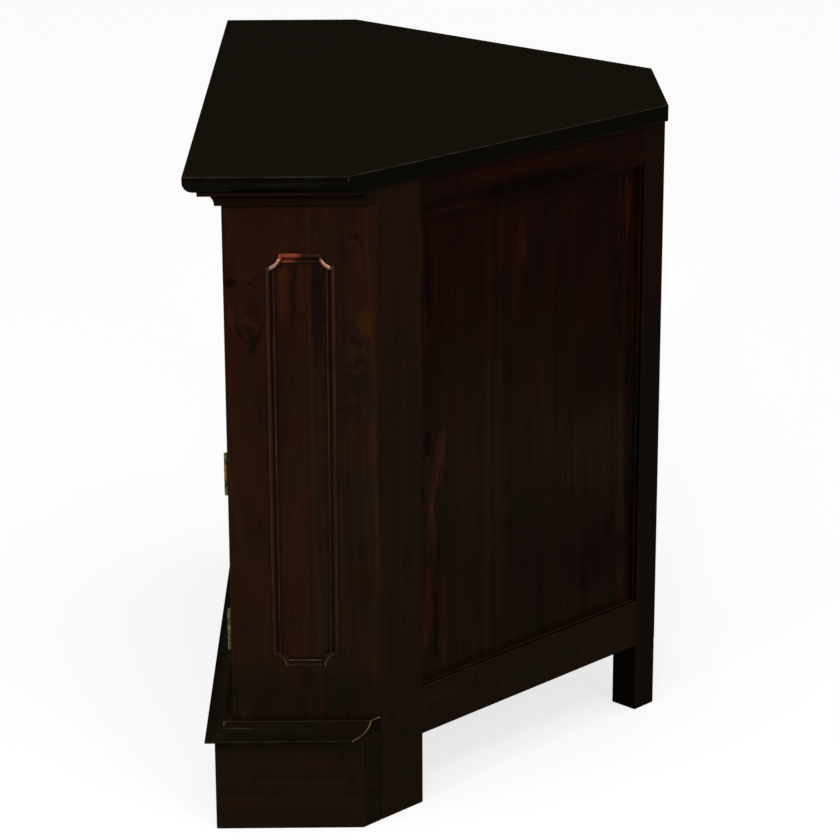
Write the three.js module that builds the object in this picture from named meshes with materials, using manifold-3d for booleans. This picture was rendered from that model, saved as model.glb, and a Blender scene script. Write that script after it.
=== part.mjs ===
// A corner television cabinet in dark mahogany. Its plan has a long front, two short returns square to the
// front, two wall sides at 45 degrees and a narrow cut-off back. An open niche lies over a cupboard with two doors.
// Millimetres, +Z up. The front faces -Y, the floor is Z = 0 and the origin is under the middle of the top board.
import * as THREE from "three";
import { mergeVertices } from "three/addons/utils/BufferGeometryUtils.js";
import Module from "manifold-3d";

const wasm = await Module();
wasm.setup();

// Whole cabinet, measured on the top board
const width = 1000;
const height = 780;
const returnDepth = 181;
const backWidth = 237;
const frontOverhang = 40;
const sideOverhang = 7;
const backOverhang = 3;

// Top board and its rounded lower edge
const topThickness = 20;
const topEdgeRadius = 14.5;

// Cornice under the top board
const corniceProud = 25;
const corniceFillet = 5;
const corniceCovePlace = 11.5;
const corniceFoot = 4.5;
const corniceHeight = 19.5;

// Plinth and the base moulding that stands on it
const plinthProud = 21;
const plinthHeight = 112;
const baseProud = 32;
const baseHeight = 19;
const baseLip = 2.5;
const baseTopFlat = 11.5;

// Boards of the carcass
const boardThickness = 20;
const shelfThickness = 18;
const backThickness = 12;
const backFloorGap = 88;
const cableHoleRadius = 30;
const cableHoleRiseShare = 95 / 187; // of the niche's height, from its floor to the hole's centre
const quirkPlace = 4.5;
const quirkWidth = 1;
const quirkDepth = 1;

// Wall sides: posts, rails and a panel held in grooves
const postThickness = 38;
const frontPostWidth = 69.5;
const rearPostWidth = 36;
const sideTopRailHeight = 50;
const sideBottomRailHeight = 60;
const sideRailFloorGap = 88;
const sidePanelRecess = 13;
const sidePanelThickness = 12;
const grooveDepth = 8;

// Front frame, from the base moulding upwards
const frontStileWidth = 20;
const bottomRailReveal = 14;
const bottomRailDrop = 70;
const doorOpeningHeight = 350;
const middleRailHeight = 30;
const frontTopRailHeight = 48;
const doorStopLip = 5;

// Cupboard shelf and the cleats it lies on
const shelfRise = 168;
const shelfSetback = 40;
const cleatSection = 18;
const cleatEndMargin = 12;

// Doors
const doorGap = 2;
const doorStileWidth = 50;
const doorRailHeight = 50;
const doorPanelRecess = 5;
const doorPanelThickness = 8;
const doorRingMargin = 18;

// Planted mouldings with notched corners
const ringBand = 9.5;
const ringProud = 5;
const ringBevel = 2;
const ringNotch = 15;
const ringSideMargin = 47.5;
const ringTopMargin = 55.5;
const ringBottomMargin = 64.5;

// Butt hinges
const hingeLength = 50;
const hingeInset = 80;
const hingeEndKnuckle = 12;
const knuckleRadius = 3;
const knuckleClearance = 0.5;
const pinRadius = 1.3;
const boreClearance = 0.3;
const leafThickness = 1;
const leafDepth = 17;

// Knobs, catch and strike plates
const knobLength = 22;
const knobHeadRadius = 11;
const knobNeckRadius = 4.5;
const knobRoseRadius = 9;
const knobRoseThickness = 2.5;
const knobHeadThickness = 11;
const catchWidth = 56;
const catchDepth = 16;
const catchHeight = 29;
const strikeWidth = 18;
const strikeHeight = 12;
const strikeThickness = 1.2;
const strikeDrop = 2;

// Clearances: glued and screwed joints, panels in their grooves, and how far cutting tools run past a face
const jointGap = 0.2;
const panelPlay = 0.3;
const overrun = 5;

// Round stretches and turned pieces
const arcSteps = 6;
const turnedSteps = 24;
const hingeSteps = 16;

// The plan. A wall side runs at 45 degrees, so x + y stays the same along it.
const diagonal = Math.SQRT2;
const depth = returnDepth + (width - backWidth) / 2;
const bodyHalf = width / 2 - frontOverhang;
const wallLine = width / 2 + returnDepth - frontOverhang - sideOverhang * diagonal;
const cornerY = wallLine - bodyHalf;
const backY = depth - frontOverhang - backOverhang;
const backHalf = wallLine - backY;
const sideLength = (bodyHalf - backHalf) * diagonal;
const mitreSlope = Math.tan(Math.PI / 8);

// Levels
const undersideOfTop = height - topThickness;
const bodyTop = undersideOfTop - jointGap;
const doorOpeningLow = plinthHeight + baseHeight + bottomRailReveal;
const doorOpeningHigh = doorOpeningLow + doorOpeningHeight;
const nicheFloor = doorOpeningHigh + middleRailHeight;
const nicheCeiling = undersideOfTop - frontTopRailHeight;

// Front opening, doors and hinge line
const frontOpeningHalf = bodyHalf - boardThickness - frontStileWidth;
const hingeGap = 2 * leafThickness + 3 * jointGap;
const hingeX = frontOpeningHalf - hingeGap / 2;
const hingeProud = knuckleRadius + jointGap / 2;
const doorEdge = frontOpeningHalf - hingeGap;
const doorWidth = doorEdge - doorGap / 2;
const doorLow = doorOpeningLow + doorGap;
const doorHigh = doorOpeningHigh - doorGap;

const HANDS = { right: 1, left: -1 };

// Materials
function finish(name, colour, roughness, metalness = 0) {
  return new THREE.MeshStandardMaterial({ name, color: new THREE.Color(...colour), roughness, metalness });
}

const topLacquer = finish("top lacquer", [0.09, 0.072, 0.045], 0.18);
const mahogany = finish("mahogany", [0.12, 0.066, 0.04], 0.3);
const darkMahogany = finish("dark mahogany", [0.08, 0.038, 0.026], 0.3);
const insideWood = finish("inside wood", [0.17, 0.1, 0.06], 0.6);
const brass = finish("brass", [0.6, 0.48, 0.26], 0.35, 1);
const steel = finish("steel", [0.55, 0.55, 0.55], 0.35, 1);
const brownPlastic = finish("brown plastic", [0.12, 0.08, 0.06], 0.5);

// Solids: joining and cutting
function solidOf(geometry) {
  const bare = geometry.clone();
  bare.deleteAttribute("normal");
  bare.deleteAttribute("uv");
  const merged = mergeVertices(bare);
  const vertProperties = Float32Array.from(merged.attributes.position.array);
  const triVerts = Uint32Array.from(merged.index.array);
  return new wasm.Manifold(new wasm.Mesh({ numProp: 3, vertProperties, triVerts }));
}

function geometryOf(solid) {
  const mesh = solid.getMesh();
  const geometry = new THREE.BufferGeometry();
  geometry.setAttribute("position", new THREE.BufferAttribute(Float32Array.from(mesh.vertProperties), 3));
  geometry.setIndex(new THREE.BufferAttribute(Uint32Array.from(mesh.triVerts), 1));
  const flat = geometry.toNonIndexed();
  flat.computeVertexNormals();
  return flat;
}

function cut(base, ...tools) {
  return geometryOf(tools.reduce((rest, tool) => rest.subtract(solidOf(tool)), solidOf(base)));
}

function join(...pieces) {
  const [first, ...others] = pieces.map(solidOf);
  return geometryOf(others.reduce((sum, piece) => sum.add(piece), first));
}

function common(one, other) {
  return geometryOf(solidOf(one).intersect(solidOf(other)));
}

// A board or block between two opposite corners, given in any order.
function block(from, to) {
  const size = from.map((low, i) => Math.abs(to[i] - low));
  const middle = from.map((low, i) => (low + to[i]) / 2);
  return new THREE.BoxGeometry(...size).translate(...middle);
}

// An upright prism on a plan outline.
function prism(outline, low, high) {
  const shape = new THREE.Shape(outline.map(([x, y]) => new THREE.Vector2(x, y)));
  const geometry = new THREE.ExtrudeGeometry(shape, { depth: high - low, bevelEnabled: false });
  return geometry.translate(0, 0, low);
}

// A straight bar whose section is drawn as (distance out of the body, height). It runs along Y through the origin.
function bar(section, length) {
  const settings = { depth: length, bevelEnabled: false, curveSegments: arcSteps };
  const geometry = new THREE.ExtrudeGeometry(section, settings);
  return geometry.translate(0, 0, -length / 2).rotateX(Math.PI / 2);
}

function rod(radius, length, steps) {
  return new THREE.CylinderGeometry(radius, radius, length, steps).rotateX(Math.PI / 2);
}

function add(parent, name, geometry, material) {
  const mesh = new THREE.Mesh(geometry, material);
  mesh.name = name;
  parent.add(mesh);
  return mesh;
}

// Top board: one outline, with the lower edge rounded along the front and the returns
function topBoard() {
  const sideY = returnDepth - frontOverhang;
  const rearY = depth - frontOverhang;
  const half = [
    [width / 2, -frontOverhang],
    [width / 2, sideY],
    [backWidth / 2, rearY],
  ];
  const mirrored = half.map(([x, y]) => [-x, y]).reverse();
  const board = prism([...half, ...mirrored], undersideOfTop, height);
  const edge = new THREE.Shape();
  edge.moveTo(overrun, undersideOfTop - overrun);
  edge.lineTo(overrun, undersideOfTop + topEdgeRadius);
  edge.lineTo(0, undersideOfTop + topEdgeRadius);
  edge.absarc(-topEdgeRadius, undersideOfTop + topEdgeRadius, topEdgeRadius, 0, -Math.PI / 2, true);
  edge.lineTo(-topEdgeRadius, undersideOfTop - overrun);
  const tool = bar(edge, 2 * width);
  const frontTool = tool.clone().rotateZ(-Math.PI / 2).translate(0, -frontOverhang, 0);
  const rightTool = tool.clone().translate(width / 2, 0, 0);
  const leftTool = tool.clone().rotateZ(Math.PI).translate(-width / 2, 0, 0);
  return cut(board, frontTool, rightTool, leftTool);
}

// Lengths planted on the outside of the body: mitred at the front corners, cut flush with the wall sides
function plantedOutline(side, proud) {
  const near = jointGap;
  if (side === "front") {
    return [
      [-bodyHalf, -near],
      [bodyHalf, -near],
      [bodyHalf + proud - jointGap, -proud],
      [-bodyHalf - proud + jointGap, -proud],
    ];
  }
  const hand = HANDS[side];
  return [
    [hand * (bodyHalf + near), 0],
    [hand * (bodyHalf + proud), jointGap - proud],
    [hand * (bodyHalf + proud), cornerY - proud],
    [hand * (bodyHalf + near), cornerY - near],
  ];
}

function plantedMoulding(side, section, proud, low, high) {
  const run = bar(section, 2 * width);
  if (side === "front") {
    run.rotateZ(-Math.PI / 2);
  } else if (side === "right") {
    run.translate(bodyHalf, 0, 0);
  } else {
    run.rotateZ(Math.PI).translate(-bodyHalf, 0, 0);
  }
  return common(run, prism(plantedOutline(side, proud), low - overrun, high + overrun));
}

function corniceSection() {
  const foot = bodyTop - corniceHeight;
  const underFillet = bodyTop - corniceFillet;
  const section = new THREE.Shape();
  section.moveTo(0, foot);
  section.lineTo(corniceFoot, foot);
  section.lineTo(corniceCovePlace, underFillet);
  section.lineTo(corniceProud, underFillet);
  section.lineTo(corniceProud, bodyTop);
  section.lineTo(0, bodyTop);
  return section;
}

function baseSection() {
  const low = plinthHeight + jointGap;
  const high = plinthHeight + baseHeight;
  const reach = baseProud - baseTopFlat;
  const drop = high - low - baseLip;
  const section = new THREE.Shape();
  section.moveTo(0, low);
  section.lineTo(baseProud, low);
  section.lineTo(baseProud, low + baseLip);
  section.absellipse(baseProud, high, reach, drop, -Math.PI / 2, -Math.PI, true);
  section.lineTo(0, high);
  return section;
}

// A flat moulding frame with notched corners, lying on XY round the origin and rising along +Z
function notchedPath(PathType, halfAcross, halfUp, notch) {
  const path = new PathType();
  path.moveTo(halfAcross - notch, -halfUp);
  path.absarc(halfAcross, -halfUp, notch, Math.PI, Math.PI / 2, true);
  path.lineTo(halfAcross, halfUp - notch);
  path.absarc(halfAcross, halfUp, notch, -Math.PI / 2, -Math.PI, true);
  path.lineTo(notch - halfAcross, halfUp);
  path.absarc(-halfAcross, halfUp, notch, 0, -Math.PI / 2, true);
  path.lineTo(-halfAcross, notch - halfUp);
  path.absarc(-halfAcross, -halfUp, notch, Math.PI / 2, 0, true);
  return path;
}

function notchedRing(across, up) {
  const halfAcross = across / 2 - ringBevel;
  const halfUp = up / 2 - ringBevel;
  const flat = ringBand - 2 * ringBevel;
  const ring = notchedPath(THREE.Shape, halfAcross, halfUp, ringNotch + ringBevel);
  ring.holes.push(notchedPath(THREE.Path, halfAcross - flat, halfUp - flat, ringNotch + ringBevel));
  const settings = {
    depth: ringProud - ringBevel - jointGap,
    bevelThickness: ringBevel,
    bevelSize: ringBevel,
    bevelSegments: 2,
    curveSegments: arcSteps,
  };
  const geometry = new THREE.ExtrudeGeometry(ring, settings);
  const across2 = across + 2 * overrun;
  const up2 = up + 2 * overrun;
  const keep = block([-across2, -up2, jointGap], [across2, up2, ringProud + overrun]);
  return common(geometry, keep);
}

// Return board: its front arris carries a quirk, and its rear edge is mitred to the wall side
function returnBoard(hand) {
  const inner = bodyHalf - boardThickness;
  const mitreRun = boardThickness * mitreSlope;
  const outline = [
    [hand * inner, 0],
    [hand * bodyHalf, 0],
    [hand * bodyHalf, quirkPlace],
    [hand * (bodyHalf - quirkDepth), quirkPlace],
    [hand * (bodyHalf - quirkDepth), quirkPlace + quirkWidth],
    [hand * bodyHalf, quirkPlace + quirkWidth],
    [hand * bodyHalf, cornerY - jointGap],
    [hand * inner, cornerY - jointGap - mitreRun],
  ];
  return prism(outline, 0, bodyTop);
}

function addReturn(cabinet, side) {
  const hand = HANDS[side];
  add(cabinet, `return_board_${side}`, returnBoard(hand), mahogany);
  const ringLow = plinthHeight + baseHeight + ringBottomMargin;
  const ringHigh = bodyTop - corniceHeight - ringTopMargin;
  const ringAcross = cornerY - 2 * ringSideMargin;
  const moulding = notchedRing(ringAcross, ringHigh - ringLow);
  const ring = add(cabinet, `return_moulding_${side}`, moulding, mahogany);
  ring.rotation.set(Math.PI / 2, 0, (hand * Math.PI) / 2, "ZXY");
  ring.position.set(hand * bodyHalf, cornerY / 2, (ringLow + ringHigh) / 2);
}

// Frames with a panel. A frame has its own axes: x runs along its face, z is up, and "inward" says whether its
// thickness grows along +Y or -Y. Its opening is start to end and low to high.
function framePoint(frame, along, deep) {
  return [along, frame.inward * deep];
}

function frameBlock(frame, along, deep, levels) {
  const from = [along[0], frame.inward * deep[0], levels[0]];
  const to = [along[1], frame.inward * deep[1], levels[1]];
  return block(from, to);
}

function grooveTool(frame, along, levels) {
  const deep = [frame.recess - panelPlay, frame.recess + frame.panelThickness + panelPlay];
  return frameBlock(frame, along, deep, levels);
}

function frameStile(frame, outline, edge, levels, grooveLevels) {
  const body = prism(outline.map(([along, deep]) => framePoint(frame, along, deep)), ...levels);
  const outwards = edge === frame.start ? -1 : 1;
  const groove = grooveTool(frame, [edge + outwards * grooveDepth, edge - outwards * overrun], grooveLevels);
  return cut(body, groove);
}

function frameRail(frame, levels, grooveEdge) {
  const body = frameBlock(frame, [frame.start + jointGap, frame.end - jointGap], [0, frame.thickness], levels);
  const tenonReach = grooveDepth - jointGap;
  const tenonDeep = [frame.recess, frame.recess + frame.panelThickness];
  const tenons = frameBlock(frame, [frame.start - tenonReach, frame.end + tenonReach], tenonDeep, levels);
  const upwards = grooveEdge === levels[0] ? 1 : -1;
  const grooveLevels = [grooveEdge + upwards * grooveDepth, grooveEdge - upwards * overrun];
  const alongAll = [frame.start - grooveDepth - overrun, frame.end + grooveDepth + overrun];
  return cut(join(body, tenons), grooveTool(frame, alongAll, grooveLevels));
}

function framePanel(frame) {
  const reach = grooveDepth - panelPlay;
  const along = [frame.start - reach, frame.end + reach];
  const deep = [frame.recess, frame.recess + frame.panelThickness];
  return frameBlock(frame, along, deep, [frame.low - reach, frame.high + reach]);
}

// Wall side at 45 degrees: two posts that run down as legs, two rails and the glued-up panel
function addWallSide(cabinet, side) {
  const hand = HANDS[side];
  const group = new THREE.Group();
  group.position.set(hand * bodyHalf, cornerY, 0);
  group.rotation.z = Math.PI / 2 + (hand * Math.PI) / 4;
  cabinet.add(group);
  const frame = {
    inward: hand,
    start: frontPostWidth,
    end: sideLength - rearPostWidth,
    low: sideRailFloorGap + sideBottomRailHeight,
    high: undersideOfTop - sideTopRailHeight,
    thickness: postThickness,
    recess: sidePanelRecess,
    panelThickness: sidePanelThickness,
  };
  const frontOutline = [
    [jointGap, 0],
    [frame.start, 0],
    [frame.start, postThickness],
    [jointGap + postThickness * mitreSlope, postThickness],
  ];
  const rearOutline = [
    [frame.end, 0],
    [sideLength, 0],
    [sideLength, postThickness],
    [frame.end, postThickness],
  ];
  const levels = [0, bodyTop];
  const grooved = [sideRailFloorGap - jointGap, bodyTop + overrun];
  const frontPost = frameStile(frame, frontOutline, frame.start, levels, grooved);
  const rearPost = frameStile(frame, rearOutline, frame.end, levels, grooved);
  add(group, `side_front_post_${side}`, frontPost, mahogany);
  add(group, `side_rear_post_${side}`, rearPost, mahogany);
  add(group, `side_top_rail_${side}`, frameRail(frame, [frame.high, bodyTop], frame.high), darkMahogany);
  add(group, `side_bottom_rail_${side}`, frameRail(frame, [sideRailFloorGap, frame.low], frame.low), mahogany);
  add(group, `side_panel_${side}`, framePanel(frame), darkMahogany);
  const cleatAlong = [frame.start - frontPostWidth / 2, frame.end + rearPostWidth - cleatEndMargin];
  const cleatDeep = [postThickness + jointGap, postThickness + jointGap + cleatSection];
  const cleatTop = doorOpeningLow + shelfRise;
  const cleat = frameBlock(frame, cleatAlong, cleatDeep, [cleatTop - cleatSection, cleatTop]);
  add(group, `shelf_cleat_${side}`, cleat, insideWood);
}

// Back panel across the cut-off corner, bevelled to the rear posts, with a round hole for cables
function backPanel() {
  const bevel = jointGap * diagonal;
  const innerY = backY - backThickness;
  const outline = [
    [-backHalf + bevel, backY],
    [-backHalf + bevel + backThickness, innerY],
    [backHalf - bevel - backThickness, innerY],
    [backHalf - bevel, backY],
  ];
  const hole = new THREE.CylinderGeometry(cableHoleRadius, cableHoleRadius, 4 * backThickness, turnedSteps);
  hole.translate(0, backY, nicheFloor + (nicheCeiling - nicheFloor) * cableHoleRiseShare);
  return cut(prism(outline, backFloorGap, bodyTop), hole);
}

// Horizontal boards fill the inside of the body. Between the posts of a wall side they reach out to "sideDeep".
function wallPoint(along, deep) {
  const x = bodyHalf - (along + deep) / diagonal;
  const y = cornerY + (along - deep) / diagonal;
  return [x, y];
}

function insideOutline(frontY, sideDeep) {
  const postDeep = postThickness + jointGap;
  const innerX = bodyHalf - boardThickness - jointGap;
  const rearY = backY - backThickness - jointGap;
  const cornerDeep = boardThickness + jointGap;
  const start = frontPostWidth + jointGap;
  const end = sideLength - rearPostWidth - jointGap;
  const past = sideLength + jointGap;
  const half = [
    [innerX, frontY],
    wallPoint(cornerDeep * mitreSlope, cornerDeep),
    wallPoint(postDeep * mitreSlope, postDeep),
    wallPoint(start, postDeep),
    wallPoint(start, sideDeep),
    wallPoint(end, sideDeep),
    wallPoint(end, postDeep),
    wallPoint(past, postDeep),
    wallPoint(past, past - (rearY - cornerY) * diagonal),
  ];
  return [...half, ...half.map(([x, y]) => [-x, y]).reverse()];
}

function addBoards(cabinet) {
  const behindFrame = boardThickness + jointGap;
  const panelDeep = sidePanelRecess + sidePanelThickness + jointGap;
  const postDeep = postThickness + jointGap;
  const bottomTop = doorOpeningLow + doorStopLip;
  const shelfLow = doorOpeningLow + shelfRise + jointGap;
  const bottom = prism(insideOutline(behindFrame, postDeep), bottomTop - shelfThickness, bottomTop);
  const niche = prism(insideOutline(behindFrame, panelDeep), nicheFloor - shelfThickness, nicheFloor);
  const shelfOutline = insideOutline(boardThickness + shelfSetback, panelDeep);
  add(cabinet, "bottom_board", bottom, insideWood);
  add(cabinet, "niche_shelf", niche, mahogany);
  add(cabinet, "cupboard_shelf", prism(shelfOutline, shelfLow, shelfLow + shelfThickness), insideWood);
  add(cabinet, "back_panel", backPanel(), insideWood);
}

// Front frame
function addFrontFrame(cabinet) {
  const railHalf = frontOpeningHalf - jointGap;
  for (const [side, hand] of Object.entries(HANDS)) {
    const inner = [hand * frontOpeningHalf, 0, 0];
    const outer = [hand * (frontOpeningHalf + frontStileWidth - jointGap), boardThickness, bodyTop];
    add(cabinet, `front_stile_${side}`, block(inner, outer), mahogany);
  }
  const rails = {
    front_top_rail: [nicheCeiling, bodyTop],
    front_middle_rail: [doorOpeningHigh, nicheFloor],
    front_bottom_rail: [doorOpeningLow - bottomRailDrop, doorOpeningLow],
  };
  for (const [name, [low, high]] of Object.entries(rails)) {
    add(cabinet, name, block([-railHalf, 0, low], [railHalf, boardThickness, high]), mahogany);
  }
}

// Doors: a frame with a panel, a planted notched moulding and a turned knob
function knob() {
  const headLow = knobLength - knobHeadThickness;
  const profile = new THREE.Path();
  profile.moveTo(0, jointGap);
  profile.lineTo(knobRoseRadius, jointGap);
  profile.lineTo(knobRoseRadius, knobRoseThickness);
  profile.quadraticCurveTo(knobNeckRadius, knobRoseThickness, knobNeckRadius, headLow - knobRoseThickness / 2);
  profile.quadraticCurveTo(knobHeadRadius, headLow, knobHeadRadius, headLow + knobHeadThickness / 2);
  profile.quadraticCurveTo(knobHeadRadius, knobLength, 0, knobLength);
  return new THREE.LatheGeometry(profile.getPoints(arcSteps), turnedSteps);
}

function addDoor(cabinet, side) {
  const hand = HANDS[side];
  const group = new THREE.Group();
  group.position.set(hand * doorEdge, 0, 0);
  group.rotation.z = hand > 0 ? Math.PI : 0;
  cabinet.add(group);
  const frame = {
    inward: -hand,
    start: doorStileWidth,
    end: doorWidth - doorStileWidth,
    low: doorLow + doorRailHeight,
    high: doorHigh - doorRailHeight,
    thickness: boardThickness,
    recess: doorPanelRecess,
    panelThickness: doorPanelThickness,
  };
  const stileOutline = (from, to) => [
    [from, 0],
    [to, 0],
    [to, boardThickness],
    [from, boardThickness],
  ];
  const levels = [doorLow, doorHigh];
  const grooved = [doorLow - overrun, doorHigh + overrun];
  const hingeStile = frameStile(frame, stileOutline(0, frame.start), frame.start, levels, grooved);
  const meetingStile = frameStile(frame, stileOutline(frame.end, doorWidth), frame.end, levels, grooved);
  add(group, `door_hinge_stile_${side}`, hingeStile, mahogany);
  add(group, `door_meeting_stile_${side}`, meetingStile, mahogany);
  add(group, `door_top_rail_${side}`, frameRail(frame, [frame.high, doorHigh], frame.high), mahogany);
  add(group, `door_bottom_rail_${side}`, frameRail(frame, [doorLow, frame.low], frame.low), mahogany);
  add(group, `door_panel_${side}`, framePanel(frame), mahogany);
  const ringAcross = frame.end - frame.start - 2 * doorRingMargin;
  const ringUp = frame.high - frame.low - 2 * doorRingMargin;
  const ring = add(group, `door_moulding_${side}`, notchedRing(ringAcross, ringUp), mahogany);
  ring.rotation.x = (frame.inward * Math.PI) / 2;
  ring.position.set(doorWidth / 2, frame.inward * doorPanelRecess, (doorLow + doorHigh) / 2);
  const pull = add(group, `door_knob_${side}`, knob(), brass);
  pull.rotation.x = frame.inward > 0 ? Math.PI : 0;
  pull.position.set(doorWidth - doorStileWidth / 2, 0, (doorLow + doorHigh) / 2);
}

// Butt hinges: the cabinet leaf has the end knuckles and the pin, the door leaf has the middle knuckle
function cabinetLeaf(hand) {
  const near = hand * (jointGap / 2);
  const far = hand * (jointGap / 2 + leafThickness);
  const clear = knuckleRadius + knuckleClearance;
  const half = hingeLength / 2;
  const ends = [half - hingeEndKnuckle, half];
  const pieces = [
    block([near, clear, -half], [far, hingeProud + leafDepth, half]),
    rod(pinRadius, hingeLength - hingeEndKnuckle, hingeSteps),
  ];
  for (const end of [1, -1]) {
    const levels = ends.map((level) => end * level);
    pieces.push(block([near, 0, levels[0]], [far, clear + knuckleClearance, levels[1]]));
    const knuckle = rod(knuckleRadius, hingeEndKnuckle, hingeSteps);
    pieces.push(knuckle.translate(0, 0, (levels[0] + levels[1]) / 2));
  }
  return join(...pieces);
}

function doorLeaf(hand) {
  const near = -hand * (jointGap / 2);
  const far = -hand * (jointGap / 2 + leafThickness);
  const clear = knuckleRadius + knuckleClearance;
  const half = hingeLength / 2;
  const middle = half - hingeEndKnuckle - jointGap;
  const leaf = join(
    block([near, clear, -half], [far, hingeProud + leafDepth, half]),
    block([near, 0, -middle], [far, clear + knuckleClearance, middle]),
    rod(knuckleRadius, 2 * middle, hingeSteps),
  );
  return cut(leaf, rod(pinRadius + boreClearance, hingeLength, hingeSteps));
}

function addHinges(cabinet, side) {
  const hand = HANDS[side];
  const places = { upper: doorOpeningHigh - hingeInset, lower: doorOpeningLow + hingeInset };
  for (const [place, level] of Object.entries(places)) {
    const group = new THREE.Group();
    group.position.set(hand * hingeX, -hingeProud, level);
    cabinet.add(group);
    add(group, `${place}_hinge_cabinet_leaf_${side}`, cabinetLeaf(hand), brass);
    add(group, `${place}_hinge_door_leaf_${side}`, doorLeaf(hand), brass);
  }
}

// Catch under the niche shelf, with a strike plate on the back of each door
function addCatch(cabinet) {
  const face = boardThickness + jointGap + strikeThickness + jointGap;
  const top = nicheFloor - shelfThickness - jointGap;
  const from = [-catchWidth / 2, face, top - catchHeight];
  const to = [catchWidth / 2, face + catchDepth, top];
  add(cabinet, "door_catch", block(from, to), brownPlastic);
  for (const [side, hand] of Object.entries(HANDS)) {
    const outer = catchWidth / 2 - strikeDrop;
    const high = doorHigh - strikeDrop;
    const low = [hand * (outer - strikeWidth), boardThickness + jointGap, high - strikeHeight];
    const opposite = [hand * outer, boardThickness + jointGap + strikeThickness, high];
    add(cabinet, `strike_plate_${side}`, block(low, opposite), steel);
  }
}

function buildCabinet() {
  const cabinet = new THREE.Group();
  cabinet.position.y = frontOverhang - depth / 2;
  add(cabinet, "top_board", topBoard(), topLacquer);
  for (const side of ["front", "right", "left"]) {
    const cornice = plantedMoulding(side, corniceSection(), corniceProud, bodyTop - corniceHeight, bodyTop);
    const base = plantedMoulding(side, baseSection(), baseProud, plinthHeight, plinthHeight + baseHeight);
    add(cabinet, `cornice_${side}`, cornice, mahogany);
    add(cabinet, `plinth_${side}`, prism(plantedOutline(side, plinthProud), 0, plinthHeight), mahogany);
    add(cabinet, `base_moulding_${side}`, base, mahogany);
  }
  for (const side of Object.keys(HANDS)) {
    addReturn(cabinet, side);
    addWallSide(cabinet, side);
  }
  addBoards(cabinet);
  addFrontFrame(cabinet);
  for (const side of Object.keys(HANDS)) {
    addDoor(cabinet, side);
    addHinges(cabinet, side);
  }
  addCatch(cabinet);
  return cabinet;
}

const model = new THREE.Group();
model.add(buildCabinet());

export default model;
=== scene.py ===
"""A corner television cabinet in dark mahogany: the fine shape and the finish of every piece.

Metres, +Z up. The front faces -Y, the floor is Z = 0 and the two wall sides run back at 45 degrees. Each
piece is set where its solid is and rides on that solid's body.
"""

import logging
import math
import random
from abc import ABC, abstractmethod
from dataclasses import dataclass, field, replace
from enum import Enum
from typing import Callable, Iterable, Optional, Sequence, Union

import bmesh
import bpy
from mathutils import Matrix, Vector


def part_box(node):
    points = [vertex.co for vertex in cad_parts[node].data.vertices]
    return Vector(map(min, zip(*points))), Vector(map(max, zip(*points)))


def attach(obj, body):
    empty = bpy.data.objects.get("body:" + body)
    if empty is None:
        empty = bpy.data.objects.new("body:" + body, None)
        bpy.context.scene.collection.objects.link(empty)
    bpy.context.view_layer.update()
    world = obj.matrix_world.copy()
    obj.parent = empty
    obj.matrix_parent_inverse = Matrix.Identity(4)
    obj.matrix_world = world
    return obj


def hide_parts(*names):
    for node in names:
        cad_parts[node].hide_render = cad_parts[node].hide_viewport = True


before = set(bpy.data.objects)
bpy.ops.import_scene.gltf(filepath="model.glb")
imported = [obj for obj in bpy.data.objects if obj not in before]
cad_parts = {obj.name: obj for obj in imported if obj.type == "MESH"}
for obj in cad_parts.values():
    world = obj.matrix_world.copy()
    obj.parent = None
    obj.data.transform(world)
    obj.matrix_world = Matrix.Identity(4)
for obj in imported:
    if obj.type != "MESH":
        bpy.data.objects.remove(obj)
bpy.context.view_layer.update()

LOGGER = logging.getLogger("cabinet")

Colour = tuple[float, float, float]
Point = tuple[float, float, float]
Span = tuple[float, float]
Socket = bpy.types.NodeSocket
Value = Union[Socket, float, Sequence[float]]

WELD = 2e-6  # points nearer than this become one
SAME_PLACE = 2e-5  # points nearer than this lie on the same plane
FLAT_ANGLE = math.radians(0.5)  # facets of a solid that meet at less are one face
ARRIS_ANGLE = math.radians(40)  # edges that turn by more are eased
ALONG = 0.5  # the least cosine between two directions that count as the same
DIAGONAL = math.sqrt(2)
MIRROR_X = Matrix.Scale(-1, 4, (1, 0, 0))
RIGHTWARD, BACK, UP = Vector((1, 0, 0)), Vector((0, 1, 0)), Vector((0, 0, 1))
FRONT = Vector((0, -1, 0))
UPRIGHT = Matrix.Rotation(math.pi / 2, 4, "X")  # stands a shape drawn on XY up, so that it looks to the front
WHITE = (1.0, 1.0, 1.0, 1.0)


class Hand(Enum):
    """The two mirrored halves of the cabinet."""

    RIGHT = 1
    LEFT = -1

    @property
    def word(self) -> str:
        """The word for this half in the names of pieces."""
        return self.name.lower()


class Grain(Enum):
    """The way the fibres of a piece run, as a direction in the room."""

    UP = (0.0, 0.0, 1.0)
    ACROSS = (1.0, 0.0, 0.0)
    DEEP = (0.0, 1.0, 0.0)
    WALL_RIGHT = (-1.0, 1.0, 0.0)
    WALL_LEFT = (1.0, 1.0, 0.0)


class Sawing(Enum):
    """Where a board lay in the log: the heart's distance across the board and under its face."""

    FLAT = (0.0, 0.07)
    RIFT = (0.10, 0.08)
    QUARTER = (0.20, 0.012)


def linear(red: float, green: float, blue: float) -> Colour:
    """Turns a colour as it is seen on a screen into light.

    Args:
        red, green, blue: The screen's values, from 0 to 255.

    Returns:
        The colour in linear light, from 0 to 1.
    """
    def one(value: float) -> float:
        """One channel in linear light."""
        share = value / 255
        return share / 12.92 if share <= 0.04045 else ((share + 0.055) / 1.055) ** 2.4

    return one(red), one(green), one(blue)


@dataclass(frozen=True)
class Speckle:
    """A noise: its scale per metre along each axis, its detail and roughness, and the range that shows."""

    scale: Point
    detail: float = 2.0
    rough: float = 0.5
    low: float = 0.0
    high: float = 1.0


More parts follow.
